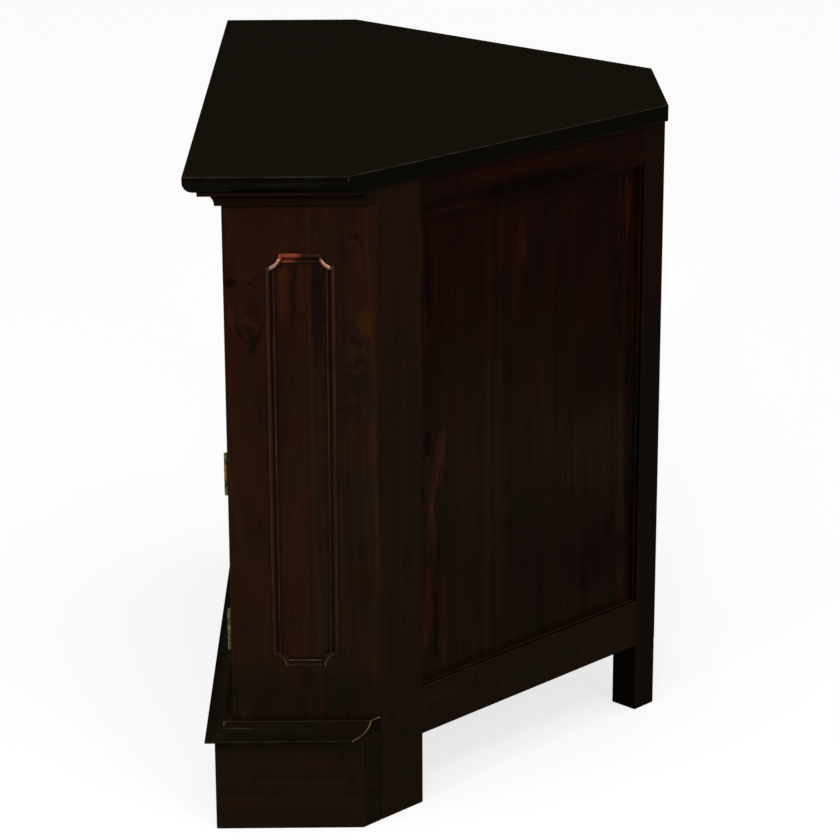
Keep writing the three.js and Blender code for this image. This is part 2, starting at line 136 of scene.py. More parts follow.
class Tree:
    """A material's or world's node tree, with a short call for each kind of node that is used."""

    BAND = {"Detail": 2.0, "Roughness": 0.6}

    def __init__(self, owner: Union[bpy.types.Material, bpy.types.World]) -> None:
        """Empties the owner's node tree.

        Args:
            owner: The material or world whose nodes are made.
        """
        owner.use_nodes = True
        self.nodes = owner.node_tree.nodes
        self.links = owner.node_tree.links
        self.nodes.clear()

    def node(self, kind: str, inputs: Optional[dict] = None, **settings: object) -> bpy.types.Node:
        """Adds a node.

        Args:
            kind: The node's type.
            inputs: What goes into its sockets, by name or number: a socket to link, or a plain value.
            settings: The node's own settings.

        Returns:
            The new node.
        """
        made = self.nodes.new(kind)
        for name, value in settings.items():
            setattr(made, name, value)
        for key, value in (inputs or {}).items():
            if isinstance(value, bpy.types.NodeSocket):
                self.links.new(value, made.inputs[key])
            else:
                made.inputs[key].default_value = value
        return made

    def math(self, operation: str, *values: Value) -> Socket:
        """A sum on numbers; returns its result."""
        return self.node("ShaderNodeMath", dict(enumerate(values)), operation=operation).outputs[0]

    def vector(self, operation: str, *values: Value) -> Socket:
        """A sum on vectors; returns its result."""
        made = self.node("ShaderNodeVectorMath", dict(enumerate(values)), operation=operation)
        return made.outputs["Value"] if operation in ("LENGTH", "DOT_PRODUCT") else made.outputs["Vector"]

    def texture(self, place: Value, speckle: Speckle) -> bpy.types.Node:
        """A speckle's noise at a place; returns its node."""
        spread = self.vector("MULTIPLY", place, speckle.scale)
        return self.node("ShaderNodeTexNoise", {"Vector": spread, "Scale": 1.0, "Detail": speckle.detail,
                                                "Roughness": speckle.rough})

    def noise(self, place: Value, speckle: Speckle) -> Socket:
        """A speckle's noise as a number about 0.5."""
        return self.texture(place, speckle).outputs["Fac"]

    def swirl(self, place: Value, speckle: Speckle) -> Socket:
        """A speckle's noise as a vector whose parts lie about 0."""
        return self.vector("SUBTRACT", self.texture(place, speckle).outputs["Color"], (0.5, 0.5, 0.5))

    def patches(self, place: Value, speckle: Speckle, least: float = 0.0) -> Socket:
        """Where a speckle shows, as a number from the least to 1."""
        return self.spread(self.noise(place, speckle), speckle.low, speckle.high, least)

    def bands(self, distance: Value, per_metre: float) -> Socket:
        """Uneven bands along a distance, as a number about 0.5."""
        inputs = {"W": distance, "Scale": per_metre, **self.BAND}
        return self.node("ShaderNodeTexNoise", inputs, noise_dimensions="1D").outputs["Fac"]

    def spread(self, value: Value, low: float, high: float, start: float = 0.0, end: float = 1.0) -> Socket:
        """Carries the range low to high smoothly over to start to end."""
        inputs = {"Value": value, "From Min": low, "From Max": high, "To Min": start, "To Max": end}
        return self.node("ShaderNodeMapRange", inputs, interpolation_type="SMOOTHSTEP").outputs["Result"]

    def mix(self, share: Value, first: Value, second: Value) -> Socket:
        """Mixes two colours, each a socket or a plain colour."""
        first, second = ((*end, 1.0) if isinstance(end, tuple) else end for end in (first, second))
        return self.node("ShaderNodeMix", {0: share, 6: first, 7: second}, data_type="RGBA").outputs[2]

    def tinted(self, colour: Value, tint: Colour, share: Value) -> Socket:
        """Multiplies a colour by a tint, as far as a share says.

        Args:
            colour: The colour.
            tint: The tint.
            share: 1 where the tint counts in full and 0 where it leaves the colour.

        Returns:
            The tinted colour.
        """
        inputs = {0: tuple(part - 1 for part in tint), "Scale": share}
        change = self.node("ShaderNodeVectorMath", inputs, operation="SCALE").outputs["Vector"]
        return self.vector("MULTIPLY", colour, self.vector("ADD", change, (1.0, 1.0, 1.0)))

    def attribute(self, name: str, output: str) -> Socket:
        """Reads a value that the piece's mesh carries."""
        return self.node("ShaderNodeAttribute", attribute_name=name).outputs[output]

    def room(self) -> Socket:
        """The place in the room, in metres."""
        return self.node("ShaderNodeTexCoord").outputs["Object"]

    def along(self, way: Sequence[float], place: Value) -> Socket:
        """How far a place lies along a direction."""
        return self.vector("DOT_PRODUCT", place, tuple(way))

    def bump(self, height: Value, strength: float, depth: float) -> Socket:
        """A fine relief; returns the turned normal."""
        inputs = {"Height": height, "Strength": strength, "Distance": depth}
        return self.node("ShaderNodeBump", inputs).outputs["Normal"]

    def end(self, kind: str, socket: Socket) -> None:
        """Ends the tree in a Material or World output."""
        self.node(f"ShaderNodeOutput{kind}", {"Surface": socket})


@dataclass(frozen=True)
class Finish(ABC):
    """A finish: its material's name and the slot that it fills."""

    name: str
    slot: str

    @abstractmethod
    def inputs(self, tree: Tree) -> dict:
        """What goes into the shader's sockets, by name."""

    def material(self) -> bpy.types.Material:
        """The finish as a material, made on its first use.

        Returns:
            The material.
        """
        found = bpy.data.materials.get(self.name)
        if found:
            return found
        made = bpy.data.materials.new(self.name)
        tree = Tree(made)
        shader = tree.node("ShaderNodeBsdfPrincipled", self.inputs(tree))
        tree.end("Material", shader.outputs["BSDF"])
        return made


@dataclass(frozen=True)
class Ruler:
    """Measures along a face from its front corner, so that marks in the wood can be placed on it."""

    start: Point
    way: Point

    def reading(self, tree: Tree) -> Socket:
        """The distance along the face, in metres."""
        way = Vector(self.way).normalized()
        return tree.math("SUBTRACT", tree.along(way, tree.room()), Vector(self.start).dot(way))


@dataclass(frozen=True)
class Mark:
    """A patch that is darker, lighter or redder than the rest: figure in the wood, and on some faces a
    painted highlight, reflection and sheen.

    Its place is in metres along the face from the front corner and above the floor. A slant carries it along
    the face as it rises.
    """

    FRAY = 4.0  # how far a fully ragged rim strays, in half sizes for a noise of 1
    RIM = 0.75  # where the rim lies, as a share of the half sizes

    along: float
    height: float
    half_width: float
    half_height: float
    tint: Colour
    slant: float = 0.0
    ragged: float = 0.35
    soft: float = 0.4

    def cover(self, tree: Tree, side: Socket, up: Socket, fray: Socket) -> Socket:
        """How much the mark covers a point.

        Args:
            tree: The material's nodes.
            side: The point's distance along the face.
            up: Its height.
            fray: A noise about 0, for the mark's rim.

        Returns:
            A number from 0 to 1.
        """
        rise = tree.math("SUBTRACT", up, self.height)
        out = tree.math("SUBTRACT", side, self.along)
        out = tree.math("SUBTRACT", out, tree.math("MULTIPLY", rise, self.slant))
        flat = tree.node("ShaderNodeCombineXYZ", {0: tree.math("DIVIDE", out, self.half_width),
                                                  1: tree.math("DIVIDE", rise, self.half_height)})
        far = tree.vector("LENGTH", flat.outputs[0])
        far = tree.math("ADD", far, tree.math("MULTIPLY", fray, self.FRAY * self.ragged))
        return tree.spread(far, self.RIM + self.soft, self.RIM - self.soft)


@dataclass(frozen=True)
class Figure:
    """How strongly each part of the grain shows, and how widely it is spaced."""

    rings: float = 0.22
    stripes: float = 0.35
    fibres: float = 0.5
    mottle: float = 0.5
    rings_per_metre: float = 230.0
    stripes_per_metre: float = 45.0
    wander: float = 0.014


@dataclass(frozen=True)
class Wood(Finish):
    """A lacquered wood: the colours of its dark, middle and light grain, its figure and its gloss.

    The material reads the mesh's own log, tone and wear values. The last lightens faces by the worn tint:
    real wear on arrises, and painted highlight where the pieces set it.
    """

    # in the log: X runs along the fibres
    SWAY = Speckle((2.2, 9.0, 9.0), 4.0)
    FIBRE = Speckle((7.0, 420.0, 420.0), 4.0, 0.6)
    PORES = Speckle((60.0, 1700.0, 1700.0), 1.0, 0.5, 0.6, 0.75)
    MOTTLE = Speckle((9.0, 40.0, 40.0), 5.0, 0.6)
    CLOUD = Speckle((7.0, 24.0, 24.0), 5.0, 0.65, 0.42, 0.58)
    TAPER = (0.05, 1.0, 1.0)  # how much each axis counts in the distance from the heart
    RING_SPAN = (0.28, 0.72)
    STRIPE_SPAN = (0.3, 0.7)
    # in the room
    SOOT = Speckle((31.0, 31.0, 19.0), 5.0, 0.7, 0.55, 0.7)
    NIBS = Speckle((420.0, 420.0, 420.0), 1.0, 0.5, 0.7, 0.78)
    # patches where wear and painted highlight show in full; elsewhere they fall to LEAST_RUBBED
    RUBBED = Speckle((45.0, 45.0, 45.0), 3.0, 0.5, 0.35, 0.65)
    MARK_SWAY = Speckle((60.0, 60.0, 28.0), 4.0)
    MARK_RIM = Speckle((70.0, 70.0, 20.0), 5.0, 0.6)
    BLUSH_HEIGHTS = (0.42, 0.62)
    PORE_TINT = (0.45, 0.42, 0.4)
    NIB_TINT = (1.9, 1.9, 2.0)
    LEAST_RUBBED = 0.3
    FIBRE_ROUGHNESS = 0.16
    PORE_DEPTH = -0.6  # against the fibres' relief
    RELIEF = (0.12, 0.0004)  # the relief's strength and depth

    dark: Colour
    middle: Colour
    light: Colour
    figure: Figure = Figure()
    cloud: Colour = (1.16, 0.91, 0.86)
    mist: Colour = (0.88, 1.06, 1.04)
    smudge: Colour = (0.66, 0.66, 0.72)
    # the tint that the part above BLUSH_HEIGHTS takes: partly the wood's own colour, partly painted light and
    # shade
    blush: Colour = (1.0, 1.0, 1.0)
    # the tint of faces with wear: real wear, and painted highlight
    worn: Colour = (1.7, 1.65, 1.6)
    roughness: float = 0.45
    coat: float = 0.02
    coat_roughness: float = 0.08
    pores: float = 0.5
    nibs: float = 0.6
    ruler: Optional[Ruler] = None
    ripple: float = 0.02
    marks: tuple[Mark, ...] = ()

    def inputs(self, tree: Tree) -> dict:
        """Works out the wood's colour and relief.

        Args:
            tree: The material's nodes.

        Returns:
            What goes into the shader's sockets, by name.
        """
        room = tree.room()
        height = tree.along(UP, room)
        log = tree.attribute("log", "Vector")
        wander = (0.0, self.figure.wander, self.figure.wander)
        bent = tree.vector("MULTIPLY_ADD", tree.swirl(log, self.SWAY), wander, log)
        fibre = tree.noise(bent, self.FIBRE)
        pores = tree.patches(log, self.PORES)
        cloud = tree.patches(log, self.CLOUD)
        colour = self._grain(tree, bent, fibre)
        tints = (
            (self.cloud, cloud),
            (self.mist, tree.math("SUBTRACT", 1.0, cloud)),
            (self.smudge, tree.patches(room, self.SOOT)),
            (self.blush, tree.spread(height, *self.BLUSH_HEIGHTS)),
            *self._marks(tree, room, height),
            (self.PORE_TINT, tree.math("MULTIPLY", pores, self.pores)),
            (self.NIB_TINT, tree.math("MULTIPLY", tree.patches(room, self.NIBS), self.nibs)),
        )
        for tint, share in tints:
            colour = tree.tinted(colour, tint, share)
        colour = tree.vector("MULTIPLY", colour, tree.attribute("tone", "Vector"))
        # real wear and painted highlight, in patches
        patchiness = tree.patches(room, self.RUBBED, self.LEAST_RUBBED)
        wear = tree.math("MULTIPLY", tree.attribute("wear", "Fac"), patchiness)
        least_rough = self.roughness - self.FIBRE_ROUGHNESS / 2
        return {
            "Base Color": tree.tinted(colour, self.worn, wear),
            "Roughness": tree.math("MULTIPLY_ADD", fibre, self.FIBRE_ROUGHNESS, least_rough),
            "Specular IOR Level": 0.0,
            "Coat Weight": self.coat,
            "Coat Roughness": self.coat_roughness,
            "Normal": tree.bump(tree.math("MULTIPLY_ADD", pores, self.PORE_DEPTH, fibre), *self.RELIEF),
        }

    def _grain(self, tree: Tree, bent: Socket, fibre: Socket) -> Socket:
        """Adds up the parts of the grain.

        Args:
            tree: The material's nodes.
            bent: The place in the log, with the trunk's wander.
            fibre: The fine fibres.

        Returns:
            The grain's colour.
        """
        figure = self.figure
        radius = tree.vector("LENGTH", tree.vector("MULTIPLY", bent, self.TAPER))
        parts = (
            (tree.spread(tree.bands(radius, figure.rings_per_metre), *self.RING_SPAN), figure.rings),
            (tree.spread(tree.bands(radius, figure.stripes_per_metre), *self.STRIPE_SPAN), figure.stripes),
            (fibre, figure.fibres),
            (tree.noise(bent, self.MOTTLE), figure.mottle),
        )
        share: Value = 0.5
        for part, weight in parts:
            share = tree.math("ADD", share, tree.math("MULTIPLY_ADD", part, weight, -0.5 * weight))
        share = tree.math("MAXIMUM", tree.math("MINIMUM", share, 1.0), 0.0)
        lower = tree.mix(tree.spread(share, 0.0, 0.5), self.dark, self.middle)
        return tree.mix(tree.spread(share, 0.5, 1.0), lower, self.light)

    def _marks(self, tree: Tree, room: Socket, height: Socket) -> list[tuple[Colour, Socket]]:
        """Finds where the marks lie on the face, which their ripple bends a little.

        Args:
            tree: The material's nodes.
            room: The place in the room.
            height: The height above the floor.

        Returns:
            Each mark's tint, and how much it covers a point.
        """
        if not self.marks:
            return []
        sway = tree.swirl(room, self.MARK_SWAY)
        side = tree.math("MULTIPLY_ADD", tree.along(RIGHTWARD, sway), self.ripple, self.ruler.reading(tree))
        up = tree.math("MULTIPLY_ADD", tree.along(BACK, sway), 2 * self.ripple, height)
        fray = tree.math("SUBTRACT", tree.noise(room, self.MARK_RIM), 0.5)
        return [(mark.tint, mark.cover(tree, side, up, fray)) for mark in self.marks]


@dataclass(frozen=True)
class Metal(Finish):
    """A bare metal with the dulling that handling leaves."""

    FILM = Speckle((90.0, 90.0, 90.0), 4.0, 0.65, 0.35, 0.65)
    SCRATCH = Speckle((300.0, 300.0, 2500.0))
    FILM_ROUGHNESS = 0.22
    SCRATCH_ROUGHNESS = 0.08
    RELIEF = (0.15, 0.0001)

    bright: Colour
    dull: Colour
    roughness: float = 0.3
    tarnish: Colour = (0.12, 0.1, 0.08)

    def inputs(self, tree: Tree) -> dict:
        """Works out the metal's film and scratches.

        Args:
            tree: The material's nodes.

        Returns:
            What goes into the shader's sockets, by name.
        """
        film = tree.patches(tree.room(), self.FILM)
        scratch = tree.noise(tree.room(), self.SCRATCH)
        rough = tree.math("MULTIPLY_ADD", film, self.FILM_ROUGHNESS, self.roughness)
        colour = tree.mix(film, self.bright, self.dull)
        return {
            "Base Color": tree.tinted(colour, self.tarnish, tree.attribute("wear", "Fac")),
            "Metallic": 1.0,
            "Roughness": tree.math("MULTIPLY_ADD", scratch, self.SCRATCH_ROUGHNESS, rough),
            "Normal": tree.bump(scratch, *self.RELIEF),
        }


@dataclass(frozen=True)
class Plastic(Finish):
    """A moulded plastic with a fine grained skin."""

    SKIN = Speckle((1800.0, 1800.0, 1800.0))
    DUST = Speckle((60.0, 60.0, 60.0), 3.0, 0.5, 0.4, 0.7)
    DUST_TINT = (1.5, 1.5, 1.5)
    SKIN_ROUGHNESS = 0.2
    SPECULAR = 0.06
    RELIEF = (0.2, 0.0002)

    colour: Colour
    roughness: float = 0.5

    def inputs(self, tree: Tree) -> dict:
        """Works out the plastic's skin and dust.

        Args:
            tree: The material's nodes.

        Returns:
            What goes into the shader's sockets, by name.
        """
        skin = tree.noise(tree.room(), self.SKIN)
        least_rough = self.roughness - self.SKIN_ROUGHNESS / 2
        return {
            "Base Color": tree.tinted(self.colour, self.DUST_TINT, tree.patches(tree.room(), self.DUST)),
            "Roughness": tree.math("MULTIPLY_ADD", skin, self.SKIN_ROUGHNESS, least_rough),
            "Specular IOR Level": self.SPECULAR,
            "Normal": tree.bump(skin, *self.RELIEF),
        }


@dataclass(frozen=True)
class Stock:
    """A board as it was sawn: the way its fibres run, the way its face looks and its place in the log."""

    grain: Grain
    face: Vector
    sawing: Sawing = Sawing.RIFT
    tone: Colour = (1.0, 1.0, 1.0)


class Piece:
    """One piece in the making: a mesh shaped with bmesh operators, then dressed and set on its body."""

    END_TONE = (0.72, 0.84, 0.82)  # the tint of end grain
    END_REACH = 1.4  # a face takes all of that tint when its slope times this reaches 1
    # the heart's place: metres along the log, shares and metres across it, and shares under the board
    HEART_ALONG = (-3.0, 3.0)
    HEART_ACROSS = (0.75, 1.25)
    HEART_SHIFT = (-0.02, 0.02)
    HEART_UNDER = (0.7, 1.3)

    def __init__(self, name: str, solid: Optional[str] = None, copied: bool = True) -> None:
        """Starts with an empty mesh, or with a welded copy of a solid's.

        Args:
            name: The piece's name.
            solid: The solid that it stands for, if any.
            copied: Whether it starts as that solid's copy.
        """
        self.name = name
        self.stands_for = [solid] if solid else []
        self.bm = bmesh.new()
        if solid and copied:
            self.bm.from_mesh(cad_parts[solid].data)
            bmesh.ops.remove_doubles(self.bm, verts=self.bm.verts, dist=WELD)
            bmesh.ops.dissolve_limit(self.bm, angle_limit=FLAT_ANGLE, verts=self.bm.verts,
                                     edges=self.bm.edges)
        self.shade_flat()
        self.log = self.bm.loops.layers.float_vector.new("log")
        self.wear = self.bm.faces.layers.float.new("wear")
        self.tone = self.bm.faces.layers.float_vector.new("tone")

    def shade_flat(self) -> "Piece":
        """Shades every face flat."""
        for face in self.bm.faces:
            face.smooth = False
        return self

    def everything(self) -> list:
        """Every vertex, edge and face of the mesh."""
        return self.bm.verts[:] + self.bm.edges[:] + self.bm.faces[:]

    def sharp_edges(self, shortest: float = 0.004, angle: float = ARRIS_ANGLE) -> list[bmesh.types.BMEdge]:
        """The outer edges that a hand plane would ease.

        Args:
            shortest: Shorter edges are left out.
            angle: Flatter edges are left out.

        Returns:
            The edges.
        """
        return [
            edge for edge in self.bm.edges
            if edge.is_manifold and edge.is_convex and edge.calc_length() > shortest
            and edge.calc_face_angle() > angle
        ]

    def ease(self, width: float, edges: Optional[list] = None, segments: int = 2,
             worn: float = 1.0) -> "Piece":
        """Rounds edges and marks the new faces as worn and highlighted.

        Args:
            width: How far the rounding reaches on each side of the edge.
            edges: The edges; all sharp outer ones if none are given.
            segments: How many facets make the rounding.
            worn: How far the lacquer is worn there and how much painted highlight it takes, from 0 to 1.

        Returns:
            The piece.
        """
        chosen = self.sharp_edges() if edges is None else edges
        rounded = bmesh.ops.bevel(self.bm, geom=chosen, offset=width, offset_type="OFFSET", segments=segments,
                                  profile=0.5, affect="EDGES", clamp_overlap=False, material=-1)
        for face in rounded["faces"]:
            face.smooth = True
            face[self.wear] = worn
        return self

    def halve(self, place: Sequence[float], way: Sequence[float], **settings: object) -> list:
        """Cuts all faces along a plane; returns the new vertices and edges."""
        cut = bmesh.ops.bisect_plane(self.bm, geom=self.everything(), dist=WELD, plane_co=place,
                                     plane_no=way, **settings)
        return cut["geom_cut"]

    def scribe(self, place: Vector, across: Vector, outward: Vector, width: float, depth: float) -> None:
        """Sinks a fine V line in a face, where two glued boards meet.

        Args:
            place: A point of the face on the line.
            across: The direction from one board to the other.
            outward: The face's normal.
            width: The line's width.
            depth: The line's depth; less than 0 for a fine bead.
        """
        level = place.dot(outward) - SAME_PLACE
        self.halve(place - across * (width / 2), across)
        middle = [part for part in self.halve(place, across)
                  if isinstance(part, bmesh.types.BMVert) and part.co.dot(outward) > level]
        self.halve(place + across * (width / 2), across)
        bmesh.ops.translate(self.bm, verts=middle, vec=-outward * depth)

    def slice(self, place: Vector, beyond: Vector) -> None:
        """Cuts away what lies beyond a plane and closes the cut."""
        cut = self.halve(place, beyond, clear_outer=True)
        bmesh.ops.edgeloop_fill(self.bm, edges=[part for part in cut if isinstance(part, bmesh.types.BMEdge)])

    def move(self, matrix: Matrix) -> "Piece":
        """Moves, turns or mirrors the whole mesh, and keeps its faces outwards.

        Args:
            matrix: The movement.

        Returns:
            The piece.
        """
        bmesh.ops.transform(self.bm, matrix=matrix, verts=self.bm.verts)
        if matrix.determinant() < 0:
            bmesh.ops.reverse_faces(self.bm, faces=self.bm.faces)
        return self

    def add(self, other: "Piece", *places: Matrix) -> None:
        """Joins another loose piece's mesh to this one and uses it up.

        Args:
            other: The other piece.
            places: Where a copy of it goes; just once where it is, if none are given.
        """
        for place in places or (Matrix.Identity(4),):
            copy = bpy.data.meshes.new("copy")
            other.bm.to_mesh(copy)
            copy.transform(place)
            self.bm.from_mesh(copy)
            bpy.data.meshes.remove(copy)
        other.bm.free()

    def line_inside(self, outward: Vector) -> "Piece":
        """Gives the faces that look into the cabinet the piece's second finish.

        Args:
            outward: The direction out of the cabinet.

        Returns:
            The piece.
        """
        self.bm.normal_update()
        for face in self.bm.faces:
            if face.normal.dot(outward) < -ALONG:
                face.material_index = 1
        return self

    def sawn_from(self, stock: Stock, faces: Optional[Iterable] = None, lot: str = "") -> "Piece":
        """Gives faces their place in the log, which the wood's figure is read from.

        Args:
            stock: How the board was sawn.
            faces: The board's faces; all of them if none are given.
            lot: A word that tells this board from others of the same piece.

        Returns:
            The piece.
        """
        chosen = list(self.bm.faces if faces is None else faces)
        self.bm.normal_update()
        along = Vector(stock.grain.value).normalized()
        outward = stock.face.normalized()
        across = outward.cross(along)
        middle = sum((face.calc_center_median() for face in chosen), Vector()) / max(1, len(chosen))
        draw = random.Random(self.name + lot)
        side, under = stock.sawing.value
        heart = Vector((
            draw.uniform(*self.HEART_ALONG),
            draw.choice((-1, 1)) * side * draw.uniform(*self.HEART_ACROSS) + draw.uniform(*self.HEART_SHIFT),
            under * draw.uniform(*self.HEART_UNDER),
        ))
        for face in chosen:
            end = min(1.0, abs(face.normal.dot(along)) * self.END_REACH)
            face[self.tone] = Vector(shade * (1 + end * (cut - 1))
                                     for shade, cut in zip(stock.tone, self.END_TONE))
            for loop in face.loops:
                place = loop.vert.co - middle
                loop[self.log] = Vector((place.dot(along), place.dot(across), place.dot(outward))) + heart
        return self

    def glue_up(self, start: Vector, across: Vector, joints: Sequence[float], line: Span,
                boards: Sequence[tuple[str, Stock]]) -> "Piece":
        """Marks the joints of a glued-up face with fine lines, and gives each board its own figure.

        Args:
            start: The point of the face that the joints are measured from.
            across: The direction from board to board.
            joints: Each joint's distance.
            line: The lines' width and depth.
            boards: Each board's lot and stock.

        Returns:
            The piece.
        """
        for joint in joints:
            self.scribe(start + across * joint, across, boards[0][1].face, *line)
        edges = (-math.inf, *joints, math.inf)
        for (lot, stock), near, far in zip(boards, edges, edges[1:]):
            faces = [face for face in self.bm.faces
                     if near <= (face.calc_center_median() - start).dot(across) < far]
            self.sawn_from(stock, faces, lot)
        return self

    def set_on(self, body: str, *finishes: Finish, crisp: Optional[float] = None) -> None:
        """Makes the piece an object with its finish, riding on a body.

        Args:
            body: The body that it moves with.
            finishes: Its finish, and then any that single faces name by their number.
            crisp: For a turned or drawn piece, the angle above which an edge stays crisp.
        """
        mesh = bpy.data.meshes.new(self.name)
        self.bm.normal_update()
        self.bm.to_mesh(mesh)
        self.bm.free()
        if crisp is not None:
            mesh.shade_smooth()
            mesh.set_sharp_from_angle(angle=crisp)
        made = bpy.data.objects.new(self.name, mesh)
        bpy.context.scene.collection.objects.link(made)
        for finish in finishes:
            made.data.materials.append(finish.material())
        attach(made, body)
        if self.stands_for:
            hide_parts(*self.stands_for)
        LOGGER.info("%s: %d faces on %s in %s", self.name, len(mesh.polygons), body, finishes[0].name)


class Outline:
    """A closed outline on XY, drawn by lines and arcs with bmesh operators."""

    def __init__(self, piece: Piece, x: float, y: float) -> None:
        """Starts the outline at a point.

        Args:
            piece: The piece whose mesh it is drawn in.
            x, y: The first point.
        """
        self.bm = piece.bm
        self.first = self.tip = self.bm.verts.new((x, y, 0))

    def line_to(self, x: float, y: float) -> "Outline":
        """Carries the outline straight to a point.

        Args:
            x, y: The point.

        Returns:
            The outline.
        """
        self.tip = bmesh.ops.extrude_vert_indiv(self.bm, verts=[self.tip])["verts"][0]
        self.tip.co = (x, y, 0)
        return self

    def arc(self, x: float, y: float, angle: float, steps: int, stretch: float = 1.0) -> "Outline":
        """Carries the outline round a centre.

        Args:
            x, y: The centre.
            angle: How far it turns, in degrees, to the left.
            steps: How many straight steps it takes.
            stretch: How much the arc's height is stretched about the centre.

        Returns:
            The outline.
        """
        before = set(self.bm.verts)
        made = bmesh.ops.spin(self.bm, geom=[self.tip], cent=(x, y, 0), axis=UP, angle=math.radians(angle),
                              steps=steps)
        new = [vert for vert in self.bm.verts if vert not in before]
        bmesh.ops.scale(self.bm, vec=(1, stretch, 1), space=Matrix.Translation((-x, -y, 0)), verts=new)
        self.tip = next(part for part in made["geom_last"] if isinstance(part, bmesh.types.BMVert))
        return self

    def close(self) -> bmesh.types.BMFace:
        """Closes the outline.

        Returns:
            Its face.
        """
        self.bm.edges.new((self.tip, self.first))
        rim = [edge for edge in self.bm.edges if edge.is_wire]
        return bmesh.ops.edgeloop_fill(self.bm, edges=rim)["faces"][0]


def raise_face(piece: Piece, face: bmesh.types.BMFace, by: Vector) -> bmesh.types.BMFace:
    """Extrudes a face.

    Args:
        piece: The face's piece.
        face: The face.
        by: How far and which way.

    Returns:
        The face at the far end.
    """
    made = bmesh.ops.extrude_face_region(piece.bm, geom=[face, *face.edges])
    verts = [part for part in made["geom"] if isinstance(part, bmesh.types.BMVert)]
    bmesh.ops.translate(piece.bm, verts=verts, vec=by)
    return next(part for part in made["geom"] if isinstance(part, bmesh.types.BMFace))


def cube(name: str, low: Sequence[float], high: Sequence[float]) -> Piece:
    """A block between two corners.

    Args:
        name: The piece's name.
        low: One corner.
        high: The opposite corner.

    Returns:
        The piece.
    """
    made = Piece(name)
    size = [abs(b - a) for a, b in zip(low, high)]
    middle = [(a + b) / 2 for a, b in zip(low, high)]
    matrix = Matrix.Translation(middle) @ Matrix.Diagonal((*size, 1.0))
    bmesh.ops.create_cube(made.bm, size=1.0, matrix=matrix)
    return made.shade_flat()


def facing(place: Sequence[float], way: Vector, roll: float = 0.0) -> Matrix:
    """A place whose +Z looks a given way.

    Args:
        place: The point.
        way: The direction of +Z.
        roll: A turn about that direction.

    Returns:
        The matrix.
    """
    turn = UP.rotation_difference(way).to_matrix().to_4x4()
    return Matrix.Translation(place) @ turn @ Matrix.Rotation(roll, 4, "Z")


@dataclass
class Plan:
    """The body's plan, read from the solids."""

    joint_gap: float = 0.0002
    half: float = field(init=False)
    front: float = field(init=False)
    corner: float = field(init=False)

    def __post_init__(self) -> None:
        """Reads the body's faces from the solids' boxes."""
        _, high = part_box("return_board_right")
        self.half = high.x
        self.corner = high.y + self.joint_gap
        self.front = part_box("front_top_rail")[0].y

    def wall_along(self, hand: Hand) -> Vector:
        """The direction along a wall side, from the front corner to the back."""
        return Vector((-hand.value, 1, 0)).normalized()

    def wall_outward(self, hand: Hand) -> Vector:
        """The direction out of a wall side."""
        return Vector((hand.value, 1, 0)).normalized()

    def wall_corner(self, hand: Hand) -> Vector:
        """A wall side's front corner at the floor."""
        return Vector((hand.value * self.half, self.corner, 0))


PLAN = Plan()
RETURN_RULER = Ruler((PLAN.half, PLAN.front, 0.0), (0.0, 1.0, 0.0))
WALL_RULER = Ruler((PLAN.half, PLAN.corner, 0.0), (-1.0, 1.0, 0.0))

TOP_LACQUER = Wood(
    name="top lacquer", slot="top_lacquer", figure=Figure(0.05, 0.08, 0.3, 0.3),
    dark=linear(17, 14, 6), middle=linear(20, 16, 8), light=linear(23, 18, 10),
    cloud=(1.08, 0.96, 1.0), mist=(0.98, 1.01, 1.0), smudge=(0.95, 0.95, 0.95),
    # its worn tint is a painted highlight on the top's arrises
    worn=(5.6, 6.0, 8.5), roughness=0.55, coat=0.004, pores=0.1, nibs=0.1,
)
# the sides and the rounding under them: darker as painted shade, with a painted highlight band from its worn
# tint
EDGE_LACQUER_SHADE_AND_HIGHLIGHT = replace(
    TOP_LACQUER, name="edge lacquer", dark=linear(7, 4, 1), middle=linear(9, 6, 2), light=linear(12, 8, 3),
    coat=0.03, coat_roughness=0.1, worn=(17.0, 18.5, 30.0),
)
MAHOGANY = Wood(
    name="lacquered mahogany", slot="mahogany", cloud=(1.13, 0.96, 0.93), mist=(0.91, 1.03, 1.01),
    dark=linear(20, 12, 6), middle=linear(27, 17, 9), light=linear(35, 22, 11), blush=(1.1, 0.88, 0.88),
)
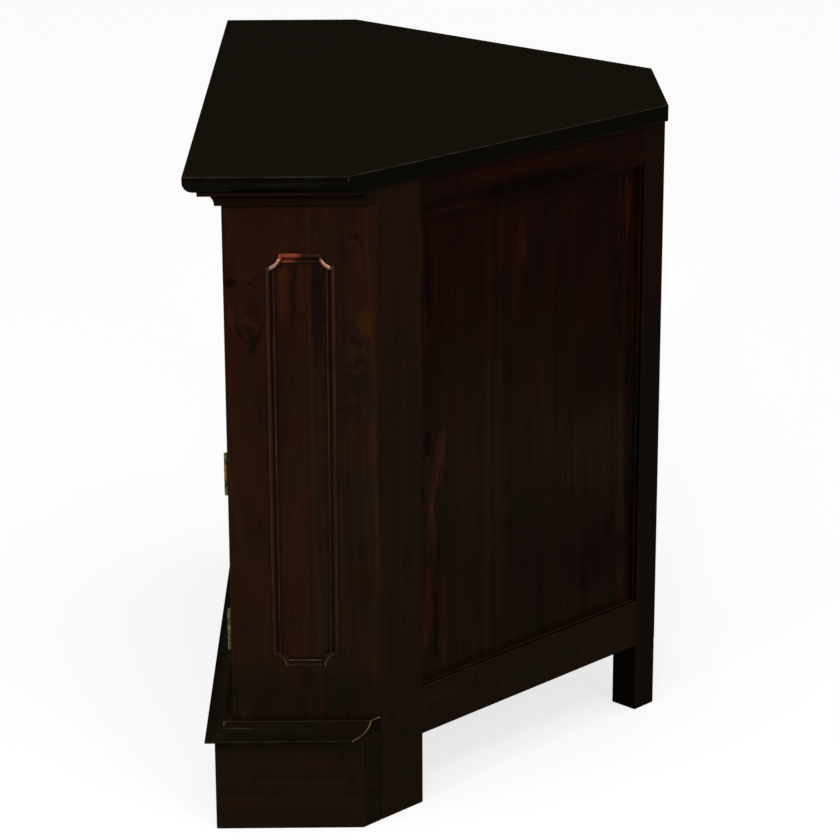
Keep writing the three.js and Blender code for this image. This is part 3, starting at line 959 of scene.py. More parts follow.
RETURN_MAHOGANY = replace(
    MAHOGANY, name="return mahogany", ruler=RETURN_RULER,
    dark=linear(23, 13, 7), middle=linear(32, 19, 10), light=linear(46, 26, 14), blush=(1.04, 0.86, 0.86),
    marks=(
        Mark(0.007, 0.648, 0.009, 0.011, (0.3, 0.42, 0.6), ragged=0.35, soft=0.25),
        Mark(0.036, 0.656, 0.009, 0.0035, (0.5, 0.38, 0.4), 0.5, ragged=0.5, soft=0.2),
        Mark(0.030, 0.647, 0.010, 0.003, (0.55, 0.42, 0.42), -0.4, ragged=0.5, soft=0.2),
        Mark(0.032, 0.635, 0.012, 0.010, (0.82, 0.95, 1.15), ragged=0.4, soft=0.25),
        Mark(0.030, 0.610, 0.013, 0.007, (1.25, 1.12, 1.2), ragged=0.4, soft=0.25),
        Mark(0.029, 0.592, 0.009, 0.016, (0.62, 0.72, 0.62), ragged=0.3, soft=0.2),
        Mark(0.019, 0.590, 0.0034, 0.024, (0.6, 0.55, 0.58), -0.45, ragged=0.35, soft=0.3),
        Mark(0.036, 0.590, 0.0034, 0.024, (0.6, 0.55, 0.58), 0.45, ragged=0.35, soft=0.3),
        Mark(0.010, 0.612, 0.004, 0.020, (1.7, 1.3, 0.9), -0.1, ragged=0.3, soft=0.3),
        Mark(0.157, 0.606, 0.009, 0.022, (1.8, 1.45, 1.1), -0.2, ragged=0.35, soft=0.15),
        Mark(0.146, 0.583, 0.011, 0.005, (0.62, 0.55, 0.58), -0.6, ragged=0.5, soft=0.35),
        Mark(0.148, 0.571, 0.014, 0.008, (1.35, 1.15, 1.1), 0.4, ragged=0.4, soft=0.2),
        Mark(0.148, 0.556, 0.019, 0.005, (0.62, 0.6, 0.68), 0.3, ragged=0.5, soft=0.35),
        Mark(0.144, 0.543, 0.014, 0.005, (0.62, 0.6, 0.7), -0.4, ragged=0.5, soft=0.35),
        Mark(0.152, 0.531, 0.015, 0.012, (0.72, 0.76, 0.92), ragged=0.5, soft=0.4),
        Mark(0.146, 0.704, 0.0030, 0.020, (0.6, 0.52, 0.6), -0.42, ragged=0.25, soft=0.35),
        Mark(0.150, 0.672, 0.007, 0.010, (1.3, 1.1, 1.05), -0.2, ragged=0.6, soft=0.15),
        Mark(0.065, 0.648, 0.008, 0.042, (1.85, 1.3, 1.15), ragged=0.2),
        Mark(0.078, 0.640, 0.0025, 0.055, (0.55, 0.66, 0.6), ragged=0.12, soft=0.3),
        Mark(0.086, 0.632, 0.0045, 0.065, (1.45, 1.12, 1.0), ragged=0.12),
        Mark(0.104, 0.625, 0.0105, 0.075, (0.5, 0.6, 0.78), ragged=0.08, soft=0.25),
        Mark(0.085, 0.155, 0.140, 0.050, (0.6, 0.7, 0.72), ragged=0.2),
        Mark(0.150, 0.290, 0.020, 0.035, (0.85, 0.75, 0.6)),
        Mark(0.060, 0.745, 0.040, 0.025, (1.1, 0.85, 0.9)),
    ),
)
DARK_MAHOGANY = Wood(
    name="darker mahogany", slot="dark_mahogany", cloud=(1.14, 0.94, 0.92), mist=(0.9, 1.03, 1.0),
    dark=linear(15, 8, 4), middle=linear(24, 14, 7), light=linear(37, 21, 11), blush=(0.85, 0.5, 0.54),
)
PANEL_MAHOGANY = replace(
    DARK_MAHOGANY, name="panel mahogany", ruler=WALL_RULER, ripple=0.012,
    marks=(
        # painted reflection: a soft lighter olive band across the middle
        Mark(0.260, 0.385, 0.230, 0.065, (1.16, 1.25, 1.18), 0.3, ragged=0.4, soft=0.5),
        Mark(0.300, 0.235, 0.160, 0.070, (1.0, 0.84, 0.95), ragged=0.5, soft=0.5),
        Mark(0.082, 0.645, 0.0035, 0.075, (2.5, 1.8, 1.1), ragged=0.12, soft=0.25),
        Mark(0.090, 0.575, 0.004, 0.035, (1.9, 1.45, 1.3), -0.05, ragged=0.25, soft=0.25),
        Mark(0.094, 0.640, 0.006, 0.070, (0.42, 0.4, 0.5), -0.04, ragged=0.18, soft=0.25),
        Mark(0.105, 0.640, 0.003, 0.080, (1.7, 1.4, 1.2), -0.03, ragged=0.18, soft=0.25),
        Mark(0.091, 0.440, 0.007, 0.018, (0.4, 0.42, 0.55), 0.1, ragged=0.4, soft=0.12),
        Mark(0.086, 0.424, 0.007, 0.004, (0.32, 0.26, 0.32), 0.8, ragged=0.4, soft=0.15),
        Mark(0.084, 0.378, 0.006, 0.016, (0.42, 0.42, 0.5), -0.15, ragged=0.35, soft=0.12),
        Mark(0.109, 0.405, 0.012, 0.055, (2.2, 1.55, 1.5), 0.12, ragged=0.4, soft=0.12),
        Mark(0.104, 0.400, 0.0016, 0.022, (0.5, 0.36, 0.36), 0.1, ragged=0.35, soft=0.2),
        Mark(0.113, 0.392, 0.0016, 0.024, (0.5, 0.36, 0.36), 0.12, ragged=0.35, soft=0.2),
        Mark(0.096, 0.330, 0.013, 0.035, (1.5, 1.35, 1.1), ragged=0.45, soft=0.12),
        Mark(0.110, 0.300, 0.002, 0.040, (0.45, 0.4, 0.45), 0.05, ragged=0.35, soft=0.2),
        Mark(0.092, 0.240, 0.008, 0.070, (1.8, 1.4, 1.2), 0.04, ragged=0.4, soft=0.15),
        Mark(0.106, 0.210, 0.004, 0.060, (0.55, 0.55, 0.55), -0.04, ragged=0.35, soft=0.2),
        Mark(0.118, 0.230, 0.003, 0.080, (1.5, 1.25, 1.1), ragged=0.3, soft=0.2),
        # painted reflection: a lighter olive patch on the right
        Mark(0.395, 0.365, 0.075, 0.065, (1.15, 1.4, 1.45)),
        Mark(0.400, 0.222, 0.060, 0.045, (0.65, 0.65, 0.95)),
        Mark(0.250, 0.650, 0.010, 0.035, (1.8, 1.4, 1.15), ragged=0.4, soft=0.15),
        Mark(0.214, 0.659, 0.006, 0.040, (1.5, 1.3, 1.0), ragged=0.3, soft=0.2),
        Mark(0.180, 0.558, 0.012, 0.040, (1.4, 0.95, 0.85), ragged=0.3),
        Mark(0.441, 0.660, 0.006, 0.050, (2.2, 2.0, 1.4), ragged=0.3, soft=0.2),
        Mark(0.400, 0.462, 0.080, 0.065, (0.80, 0.68, 0.64), ragged=0.35, soft=0.5),
        Mark(0.428, 0.560, 0.005, 0.100, (0.5, 0.55, 0.55), ragged=0.2, soft=0.3),
        Mark(0.354, 0.621, 0.022, 0.060, (1.1, 0.75, 0.85)),
    ),
)
RAIL_MAHOGANY = replace(
    DARK_MAHOGANY, name="top rail mahogany", ruler=WALL_RULER, ripple=0.004,
    marks=(
        Mark(0.265, 0.722, 0.165, 0.0120, (0.32, 0.45, 0.5), ragged=0.1, soft=0.4),
        Mark(0.095, 0.723, 0.040, 0.006, (0.5, 0.6, 0.6), ragged=0.2, soft=0.3),
        Mark(0.220, 0.745, 0.140, 0.007, (1.4, 1.05, 1.15), ragged=0.4, soft=0.3),
    ),
)
MOULDING_MAHOGANY = replace(
    # its worn tint lights the rings' arrises: painted highlight and wear
    MAHOGANY, name="ring moulding mahogany", ripple=0.0, coat=0.06, coat_roughness=0.12, worn=(3.0, 2.9, 3.1),
    dark=linear(23, 13, 6), middle=linear(31, 18, 10), light=linear(39, 23, 13), smudge=(0.8, 0.8, 0.85),
)
RETURN_MOULDING = replace(
    MOULDING_MAHOGANY, name="return moulding mahogany", ruler=RETURN_RULER,
    marks=(
        # painted highlight: the glow on the top length's left half
        Mark(0.073, 0.682, 0.017, 0.008, (7.5, 4.0, 3.8), ragged=0.3, soft=0.25),
        # painted highlights in the two upper notches
        Mark(0.0572, 0.6728, 0.0042, 0.0072, (14.0, 18.0, 24.0), 0.85, ragged=0.1, soft=0.25),
        Mark(0.1138, 0.6728, 0.0042, 0.0072, (13.0, 16.0, 21.0), -0.85, ragged=0.1, soft=0.25),
    ),
)
REAR_MAHOGANY = replace(
    MAHOGANY, name="rear post mahogany", blush=(1.45, 1.0, 1.1),
    dark=linear(11, 7, 4), middle=linear(17, 11, 6), light=linear(25, 14, 9),
)
CORNICE_MAHOGANY = replace(
    MAHOGANY, name="cornice mahogany", coat=0.03, worn=(1.9, 1.9, 1.9),
    dark=linear(19, 10, 5), middle=linear(26, 16, 9), light=linear(35, 21, 13),
)
BASE_MAHOGANY = replace(
    # its worn tint paints highlight lines on the arrises
    MAHOGANY, name="base moulding mahogany", coat=0.015, worn=(5.4, 5.4, 6.4),
    dark=linear(15, 11, 5), middle=linear(20, 15, 8), light=linear(28, 20, 12),
    ruler=RETURN_RULER, ripple=0.002,
    marks=(
        # painted highlight on the mitre's flat top
        Mark(-0.0104, 0.1290, 0.0017, 0.0036, (6.5, 7.5, 10.0), 0.2, ragged=0.1, soft=0.3),
        # painted sheen on the cove below it
        Mark(-0.0165, 0.1180, 0.0075, 0.0016, (1.7, 1.7, 1.9), ragged=0.2, soft=0.3),
    ),
)
FRONT_BASE_MAHOGANY = replace(
    BASE_MAHOGANY, name="front base moulding mahogany", marks=(), ruler=None,
    light=linear(27, 20, 11), coat=0.006, mist=(0.95, 1.0, 1.02),
)
INNER_MAHOGANY = replace(DARK_MAHOGANY, name="inner wall mahogany", coat=0.005, coat_roughness=0.45)
SHELF_MAHOGANY = replace(MAHOGANY, name="niche shelf mahogany", coat=0.006, coat_roughness=0.45)
INSIDE_WOOD = Wood(
    name="planed inside wood", slot="inside_wood",
    dark=linear(46, 27, 16), middle=linear(66, 41, 25), light=linear(84, 56, 36), roughness=0.6, coat=0.01,
    coat_roughness=0.3, worn=(1.3, 1.3, 1.3),
)
BRASS = Metal("handled brass", "brass", linear(106, 95, 56), linear(44, 39, 19), 0.24)
STEEL = Metal("plated steel", "steel", linear(150, 150, 150), linear(105, 105, 108), 0.3)
BROWN_PLASTIC = Plastic("moulded brown plastic", "brown_plastic", linear(44, 30, 24))


@dataclass
class TopBoard:
    """The top board: a rounded lower edge along the front and returns, and a plain edge along the walls."""

    return_depth: float = 0.181
    back_width: float = 0.237
    rounding: float = 0.0145
    rounding_steps: int = 12
    arris: float = 0.0008
    edge_level: float = 0.2  # faces whose normal rises less take the edge's finish, darkened as painted shade
    rubbed_level: float = -0.26  # painted highlight: the normal's rise where the rounding is lightest
    rubbed_band: float = 0.3
    rubbed_wear: float = 0.13

    def build(self) -> None:
        """Makes the board."""
        low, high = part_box("top_board")
        piece = Piece("lacquered_top", "top_board", copied=False)
        half = [(high.x, low.y), (high.x, low.y + self.return_depth), (self.back_width / 2, high.y)]
        points = half + [(-x, y) for x, y in reversed(half)]
        outline = Outline(piece, *points[0])
        for x, y in points[1:]:
            outline.line_to(x, y)
        raise_face(piece, outline.close(), UP * (high.z - low.z))
        bmesh.ops.translate(piece.bm, verts=piece.bm.verts, vec=UP * low.z)
        bmesh.ops.recalc_face_normals(piece.bm, faces=piece.bm.faces)
        piece.shade_flat()
        lower = [edge for edge in piece.bm.edges if self._is_rounded(edge, low, high)]
        piece.ease(self.rounding, lower, segments=self.rounding_steps, worn=0.0)
        piece.bm.normal_update()
        # painted highlight: a lighter band along the rounding where its faces look a little down
        for face in piece.bm.faces:
            if face.smooth:
                off = abs(face.normal.z - self.rubbed_level) / self.rubbed_band
                face[piece.wear] = self.rubbed_wear * max(0.0, 1 - off)
        piece.ease(self.arris)
        # faces that look sideways or down take the darker edge lacquer, as painted shade
        for face in piece.bm.faces:
            if face.normal.z < self.edge_level:
                face.material_index = 1
        piece.sawn_from(Stock(Grain.ACROSS, UP, Sawing.FLAT)).set_on("cabinet", TOP_LACQUER, EDGE_LACQUER_SHADE_AND_HIGHLIGHT)

    @staticmethod
    def _is_rounded(edge: bmesh.types.BMEdge, low: Vector, high: Vector) -> bool:
        """Tells the lower edges of the front and the returns from the others.

        Args:
            edge: An edge of the board.
            low, high: The corners of the board's box.

        Returns:
            Whether the edge is rounded.
        """
        ends = [vert.co for vert in edge.verts]
        at_foot = all(abs(end.z - low.z) < SAME_PLACE for end in ends)
        at_front = all(abs(end.y - low.y) < SAME_PLACE for end in ends)
        at_return = all(abs(abs(end.x) - high.x) < SAME_PLACE for end in ends)
        return at_foot and (at_front or at_return)


@dataclass
class PlantedMouldings:
    """Lengths planted round the front and returns: mitred at the front corners, cut flush with the walls."""

    node: str
    draw: Callable[[Outline], bmesh.types.BMFace]
    finish: Wood
    front_finish: Optional[Wood] = None
    # real wear and painted highlight on the arrises
    worn: float = 1.0
    arris: float = 0.0005
    shortest_arris: float = 0.02
    flattest_arris: float = math.radians(35)
    crisp: float = math.radians(30)
    end_arris: float = 0.0
    # painted highlight on the rim of the end that is cut flush with a wall
    end_worn: float = 7.0
    mitre_gap: float = 0.0001
    overlength: float = 1.1  # of the body's half width, to each side of a length's middle before it is cut
    hollow_shade: float = 1.0  # painted shade: the tone of faces that look down
    hollow_reach: float = 1.6  # a face counts in full when its fall times this reaches 1

    def build(self) -> None:
        """Makes the front length and the two return lengths."""
        corner = Vector((PLAN.half, PLAN.front, 0))
        mitre = PLAN.wall_outward(Hand.RIGHT)
        front = self._length("front")
        front.move(Matrix.Translation((0, PLAN.front, 0)) @ Matrix.Rotation(-math.pi / 2, 4, "Z"))
        for side in (Matrix.Identity(4), MIRROR_X):
            front.slice(side @ (corner - mitre * self.mitre_gap), side @ mitre)
        self._dress(front, Stock(Grain.ACROSS, FRONT), self.front_finish or self.finish)
        for hand in Hand:
            length = self._length(hand.word)
            length.move(Matrix.Translation(corner + BACK * PLAN.half))
            length.slice(corner + mitre * self.mitre_gap, -mitre)
            length.slice(PLAN.wall_corner(Hand.RIGHT) - mitre * PLAN.joint_gap / DIAGONAL, mitre)
            if hand is Hand.LEFT:
                length.move(MIRROR_X)
            self._dress(length, Stock(Grain.DEEP, RIGHTWARD * hand.value), self.finish)

    def _length(self, place: str) -> Piece:
        """Makes an uncut length along Y, its back on the plane X = 0.

        Args:
            place: front, right or left.

        Returns:
            The piece.
        """
        node = f"{self.node}_{place}"
        piece = Piece(f"shaped_{node}", node, copied=False)
        face = self.draw(Outline(piece, PLAN.joint_gap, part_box(f"{self.node}_front")[0].z))
        reach = self.overlength * PLAN.half
        raise_face(piece, face, UP * 2 * reach)
        piece.move(Matrix.Translation(BACK * reach) @ UPRIGHT)
        bmesh.ops.recalc_face_normals(piece.bm, faces=piece.bm.faces)
        return piece

    def _meets_wall(self, edge: bmesh.types.BMEdge) -> bool:
        """Tells the outer rim of the end that is cut flush with a wall side.

        Args:
            edge: An edge of a return length.

        Returns:
            Whether the edge belongs to that rim.
        """
        ends = [vert.co for vert in edge.verts]
        wall = (PLAN.half + PLAN.corner - PLAN.joint_gap) / DIAGONAL
        on_cut = all(abs((abs(end.x) + end.y) / DIAGONAL - wall) < SAME_PLACE for end in ends)
        return on_cut and all(abs(end.x) > PLAN.half + self.arris for end in ends)

    def _dress(self, piece: Piece, stock: Stock, finish: Wood) -> None:
        """Eases a length's arrises with wear and painted highlight, paints shade into its hollow and sets it
        on the cabinet.

        Args:
            piece: The length.
            stock: How its wood was sawn.
            finish: Its finish.
        """
        arrises = piece.sharp_edges(self.shortest_arris, self.flattest_arris)
        piece.ease(self.arris, arrises, segments=1, worn=self.worn)
        if self.end_arris:
            rims = [edge for edge in piece.sharp_edges(0.0) if self._meets_wall(edge)]
            piece.ease(self.end_arris, rims, segments=1, worn=self.end_worn)
        piece.sawn_from(stock)
        # painted shade: faces that look down get darker
        for face in piece.bm.faces:
            under = min(1.0, max(0.0, -self.hollow_reach * face.normal.z))
            face[piece.tone] = face[piece.tone] * (1 + (self.hollow_shade - 1) * under)
        piece.set_on("cabinet", finish, crisp=self.crisp)


@dataclass
class CorniceSection:
    """The cornice's section: a fillet under the top, then a small hollow down to the body."""

    proud: float = 0.025
    fillet: float = 0.005
    head: float = 0.0152
    foot: float = 0.0072
    # the hollow's points, in shares of the way from its foot out and up to its head
    hollow: tuple[Span, ...] = (
        (0.04, 0.22), (0.13, 0.42), (0.28, 0.60), (0.50, 0.77), (0.76, 0.90), (1.0, 1.0),
    )

    def draw(self, outline: Outline) -> bmesh.types.BMFace:
        """Draws the section up from the foot.

        Args:
            outline: The outline, started at the back's foot.

        Returns:
            The section's face.
        """
        low, high = (corner.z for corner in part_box("cornice_front"))
        under = high - self.fillet
        outline.line_to(self.foot, low)
        for out, up in self.hollow:
            outline.line_to(self.foot + (self.head - self.foot) * out, low + (under - low) * up)
        outline.line_to(self.proud, under).line_to(self.proud, high).line_to(PLAN.joint_gap, high)
        return outline.close()


@dataclass
class BaseSection:
    """The base moulding's section: a lip, a cove that sweeps up and a flat top."""

    proud: float = 0.032
    lip: float = 0.0025
    flat: float = 0.0115
    steps: int = 14

    def draw(self, outline: Outline) -> bmesh.types.BMFace:
        """Draws the section up along the back, then out over the flat and down the cove.

        Args:
            outline: The outline, started at the back's foot.

        Returns:
            The section's face.
        """
        low, high = (corner.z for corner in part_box("base_moulding_front"))
        stretch = (high - low - self.lip) / (self.proud - self.flat)
        outline.line_to(PLAN.joint_gap, high).line_to(self.flat, high)
        outline.arc(self.proud, high, 90, self.steps, stretch).line_to(self.proud, low)
        return outline.close()


@dataclass(frozen=True)
class Step:
    """One facet of a moulding: how far in and how high it ends, how much wear and painted highlight it takes
    and how dark painted shade makes it.
    """

    inset: float
    rise: float
    worn: float
    shade: float


@dataclass
class NotchedMoulding:
    """A planted frame with a scooped notch at each corner, built up by insets from its outer edge."""

    notch: float = 0.015
    notch_wear: float = 2.4  # painted highlight: how much lighter the notches are
    foot_wear: float = 1.0  # painted highlight: how much lighter the lower length is
    least_rubbed: float = 0.5  # facets lightened less than this stay the same all round
    steps: int = 8
    reach: float = 0.023  # how far in from the outer edge both of these count
    # each step's worn value lights the crests as painted highlight and wear; its shade darkens the groove and
    # the walls as painted shade
    bead: tuple[Step, ...] = (
        Step(0.0, 0.0018, 0.0, 0.8), Step(0.0003, 0.0027, 1.3, 1.0), Step(0.0009, 0.0034, 1.1, 1.0),
        Step(0.0019, 0.0039, 0.4, 1.1), Step(0.0032, 0.0040, 0.2, 1.1), Step(0.0044, 0.0037, 0.0, 1.0),
        Step(0.0054, 0.0032, 0.0, 0.9), Step(0.0062, 0.0029, 0.0, 0.75), Step(0.0069, 0.0030, 0.0, 0.7),
        Step(0.0075, 0.0039, 0.2, 0.8), Step(0.0080, 0.0046, 0.9, 1.0), Step(0.0086, 0.0049, 1.2, 1.0),
        Step(0.0091, 0.0046, 1.0, 1.0), Step(0.0094, 0.0036, 0.2, 0.7),
    )

    def build(self, piece: Piece, size: Span, place: Matrix, body: str, stock: Stock, finish: Wood) -> None:
        """Makes the frame flat on XY, rising along +Z, and then puts it in place.

        Args:
            piece: The empty piece.
            size: Its width and height.
            place: Where it goes.
            body: What it rides on.
            stock: How its wood was sawn.
            finish: Its finish.
        """
        across, up = size[0] / 2, size[1] / 2
        shade = piece.bm.faces.layers.float.new("shade")
        top = raise_face(piece, self._plan(piece, across, up), UP * self.bead[0].rise)
        for near, far in zip(self.bead, self.bead[1:]):
            piece.bm.normal_update()
            rim = bmesh.ops.inset_region(piece.bm, faces=[top], thickness=far.inset - near.inset,
                                         depth=far.rise - near.rise, use_even_offset=True)
            for face in rim["faces"]:
                face.smooth = True
                face[piece.wear] = far.worn * self._rubbing(face.calc_center_median(), across, up, far)
                face[shade] = far.shade
        raise_face(piece, top, UP * -self.bead[-1].rise)
        flat = [face for face in piece.bm.faces if all(abs(vert.co.z) < SAME_PLACE for vert in face.verts)]
        bmesh.ops.delete(piece.bm, geom=flat, context="FACES_ONLY")
        bmesh.ops.bridge_loops(piece.bm, edges=[edge for edge in piece.bm.edges if edge.is_boundary])
        bmesh.ops.recalc_face_normals(piece.bm, faces=piece.bm.faces)
        piece.move(place).sawn_from(stock)
        # painted shade: the facets' shade darkens the groove and the walls
        for face in piece.bm.faces:
            face[piece.tone] = face[piece.tone] * (face[shade] or self.bead[0].shade)
        piece.set_on(body, finish)

    def _plan(self, piece: Piece, across: float, up: float) -> bmesh.types.BMFace:
        """Draws the frame's outer edge.

        Args:
            piece: The piece that it is drawn in.
            across, up: Half the frame's width and height.

        Returns:
            The face inside that edge, looking up.
        """
        outline = Outline(piece, across - self.notch, -up).arc(across, -up, -90, self.steps)
        outline.line_to(across, up - self.notch).arc(across, up, -90, self.steps)
        outline.line_to(self.notch - across, up).arc(-across, up, -90, self.steps)
        outline.line_to(-across, self.notch - up).arc(-across, -up, -90, self.steps)
        face = outline.close()
        piece.bm.normal_update()
        if face.normal.z < 0:
            face.normal_flip()
        return face

    def _rubbing(self, middle: Vector, across: float, up: float, step: Step) -> float:
        """How much more painted highlight a facet takes at the notches and along the foot.

        Args:
            middle: The facet's middle.
            across, up: Half the frame's width and height.
            step: The facet's step.

        Returns:
            The factor on its wear.
        """
        if step.worn <= self.least_rubbed:
            return 1.0
        at_notch = across - abs(middle.x) < self.reach and up - abs(middle.y) < self.reach
        at_foot = middle.y < self.reach - up
        return (self.notch_wear if at_notch else 1.0) * (self.foot_wear if at_foot else 1.0)


@dataclass
class ReturnSide:
    """A short side square to the front: two glued boards and a notched frame."""

    hand: Hand
    glue_line: float = 0.0917
    line: Span = (0.0006, 0.0004)
    front_tone: Colour = (1.06, 1.0, 0.95)
    rear_tone: Colour = (0.96, 1.0, 1.0)
    arris: float = 0.0008
    ring: NotchedMoulding = field(default_factory=lambda: NotchedMoulding(foot_wear=4.0))

    def build(self) -> None:
        """Makes the board and its frame."""
        word, side = self.hand.word, self.hand.value
        outward = RIGHTWARD * side
        marked = self.hand is Hand.RIGHT
        board = Piece(f"planed_return_{word}", f"return_board_{word}").ease(self.arris)
        board.glue_up(Vector((side * PLAN.half, PLAN.front, 0)), BACK, (self.glue_line,), self.line, (
            ("front", Stock(Grain.UP, outward, Sawing.FLAT, self.front_tone)),
            ("rear", Stock(Grain.UP, outward, Sawing.RIFT, self.rear_tone)),
        ))
        board.line_inside(outward).set_on("cabinet", RETURN_MAHOGANY if marked else MAHOGANY, INNER_MAHOGANY)
        node = f"return_moulding_{word}"
        low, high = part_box(node)
        middle = (low + high) / 2
        seat = Matrix.Translation((side * (PLAN.half + PLAN.joint_gap), middle.y, middle.z))
        turn = Matrix.Rotation(side * math.pi / 2, 4, "Z") @ UPRIGHT
        self.ring.build(Piece(f"notched_frame_{word}", node, copied=False), (high.y - low.y, high.z - low.z),
                        seat @ turn, "cabinet", Stock(Grain.UP, outward),
                        RETURN_MOULDING if marked else MOULDING_MAHOGANY)


PANEL_JOINTS = {  # metres from the front corner
    Hand.RIGHT: (0.1295, 0.2295, 0.3115, 0.423),
    Hand.LEFT: (0.118, 0.204, 0.325, 0.401),
}


@dataclass
class WallSide:
    """A side that goes along a wall: two posts down to the floor, two rails and a glued-up panel."""

    hand: Hand
    recess: float = 0.013
    line: Span = (0.0008, 0.0005)
    shades: Span = (0.88, 1.12)  # how dark or light a board of the panel may be
    greens: Span = (0.96, 1.04)  # a board's green against its red and blue
    arris: float = 0.0009
    bead_depth: float = 0.0065
    bead_width: float = 0.0014
    bead_rise: float = 0.0005
    # painted highlight on the bead
    bead_wear: float = 2.4
    outer_shade: float = 0.5  # painted shade: the tone of the edge outside its bead
    leg_shade: float = 0.36  # painted shade: the tone of the edge below the bottom rail

    def __post_init__(self) -> None:
        """Reads the side's place from the plan and its bottom rail's upper edge."""
        self.outward = PLAN.wall_outward(self.hand)
        self.along = PLAN.wall_along(self.hand)
        self.corner = PLAN.wall_corner(self.hand)
        self.rail_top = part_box(f"side_bottom_rail_{self.hand.word}")[1].z - self.arris

    def build(self) -> None:
        """Makes the posts, rails and panel."""
        along = Grain[f"WALL_{self.hand.name}"]
        marked = self.hand is Hand.RIGHT
        for part, grain, finish, panel_way in (
            ("side_front_post", Grain.UP, MAHOGANY, None),
            ("side_rear_post", Grain.UP, REAR_MAHOGANY, -self.along),
            ("side_top_rail", along, RAIL_MAHOGANY if marked else DARK_MAHOGANY, None),
            ("side_bottom_rail", along, MAHOGANY, UP),
        ):
            node = f"{part}_{self.hand.word}"
            piece = Piece(f"planed_{node}", node).ease(self.arris)
            piece.sawn_from(Stock(grain, self.outward, Sawing.QUARTER))
            if panel_way is not None:
                self._bead(piece, panel_way)
            piece.line_inside(self.outward).set_on("cabinet", finish, INNER_MAHOGANY)
        self._panel(PANEL_MAHOGANY if marked else DARK_MAHOGANY)

    def _bead(self, piece: Piece, inward: Vector) -> None:
        """Works a fine bead on the edge of a post or rail that faces the panel, with a painted highlight on
        the bead and painted shade outside it and below the bottom rail.

        Args:
            piece: The post or rail.
            inward: The direction from it to the panel.
        """
        edge = max(face.calc_center_median().dot(inward) for face in piece.bm.faces)
        surface = self.corner.dot(self.outward)
        seat = self.outward * (surface - self.bead_depth) + inward * edge
        piece.scribe(seat, self.outward, inward, self.bead_width, -self.bead_rise)
        piece.halve(UP * self.rail_top, UP)
        piece.bm.normal_update()
        for face in piece.bm.faces:
            middle = face.calc_center_median()
            deep = surface - middle.dot(self.outward)
            if face.normal.dot(inward) < ALONG or deep < self.arris:
                continue
            if middle.z < self.rail_top:
                face[piece.tone] = face[piece.tone] * self.leg_shade
            elif abs(deep - self.bead_depth) < self.bead_width:
                face[piece.wear] = self.bead_wear
            elif deep < self.bead_depth:
                face[piece.tone] = face[piece.tone] * self.outer_shade

    def _panel(self, finish: Wood) -> None:
        """Makes the panel, with a fine line at each glued joint and each board's own figure.

        Args:
            finish: The outer face's finish.
        """
        word, joints = self.hand.word, PANEL_JOINTS[self.hand]
        draw = random.Random(f"panel {word}")
        boards = []
        for number in range(len(joints) + 1):
            shade = draw.uniform(*self.shades)
            sawing = draw.choice(list(Sawing))
            tone = (shade, shade * draw.uniform(*self.greens), shade)
            boards.append((str(number), Stock(Grain.UP, self.outward, sawing, tone)))
        panel = Piece(f"glued_panel_{word}", f"side_panel_{word}")
        panel.glue_up(self.corner - self.outward * self.recess, self.along, joints, self.line, boards)
        panel.line_inside(self.outward).set_on("cabinet", finish, INNER_MAHOGANY)


@dataclass
class Screw:
    """A countersunk slotted screw head, flat on XY and looking along +Z."""

    radius: float = 0.0032
    rise: float = 0.0002
    sunk: float = 0.001
    slot_width: float = 0.0007
    slot_depth: float = 0.0005
    segments: int = 20
    crisp: float = math.radians(30)

    def head(self) -> Piece:
        """Shapes the head.

        Returns:
            The head as a loose piece to copy from.
        """
        piece = Piece("head")
        depth = self.rise + self.sunk
        middle = Matrix.Translation((0, 0, self.rise - depth / 2))
        bmesh.ops.create_cone(piece.bm, cap_ends=True, segments=self.segments, depth=depth, matrix=middle,
                              radius1=self.radius - self.sunk, radius2=self.radius)
        for shift in (-self.slot_width / 2, self.slot_width / 2):
            piece.halve(BACK * shift, BACK)
        strip = next(face for face in piece.bm.faces
                     if all(abs(vert.co.z - self.rise) < WELD for vert in face.verts)
                     and abs(face.calc_center_median().y) < self.slot_width / 2)
        raise_face(piece, strip, UP * -self.slot_depth)
        return piece

    def row(self, name: str, places: Sequence[Matrix], body: str, finish: Finish) -> None:
        """Sets copies of the head.

        Args:
            name: The piece's name.
            places: Where each head goes; its +Z looks out of what it holds.
            body: What they ride on.
            finish: Their finish.
        """
        piece = Piece(name)
        piece.add(self.head(), *places)
        piece.set_on(body, finish, crisp=self.crisp)


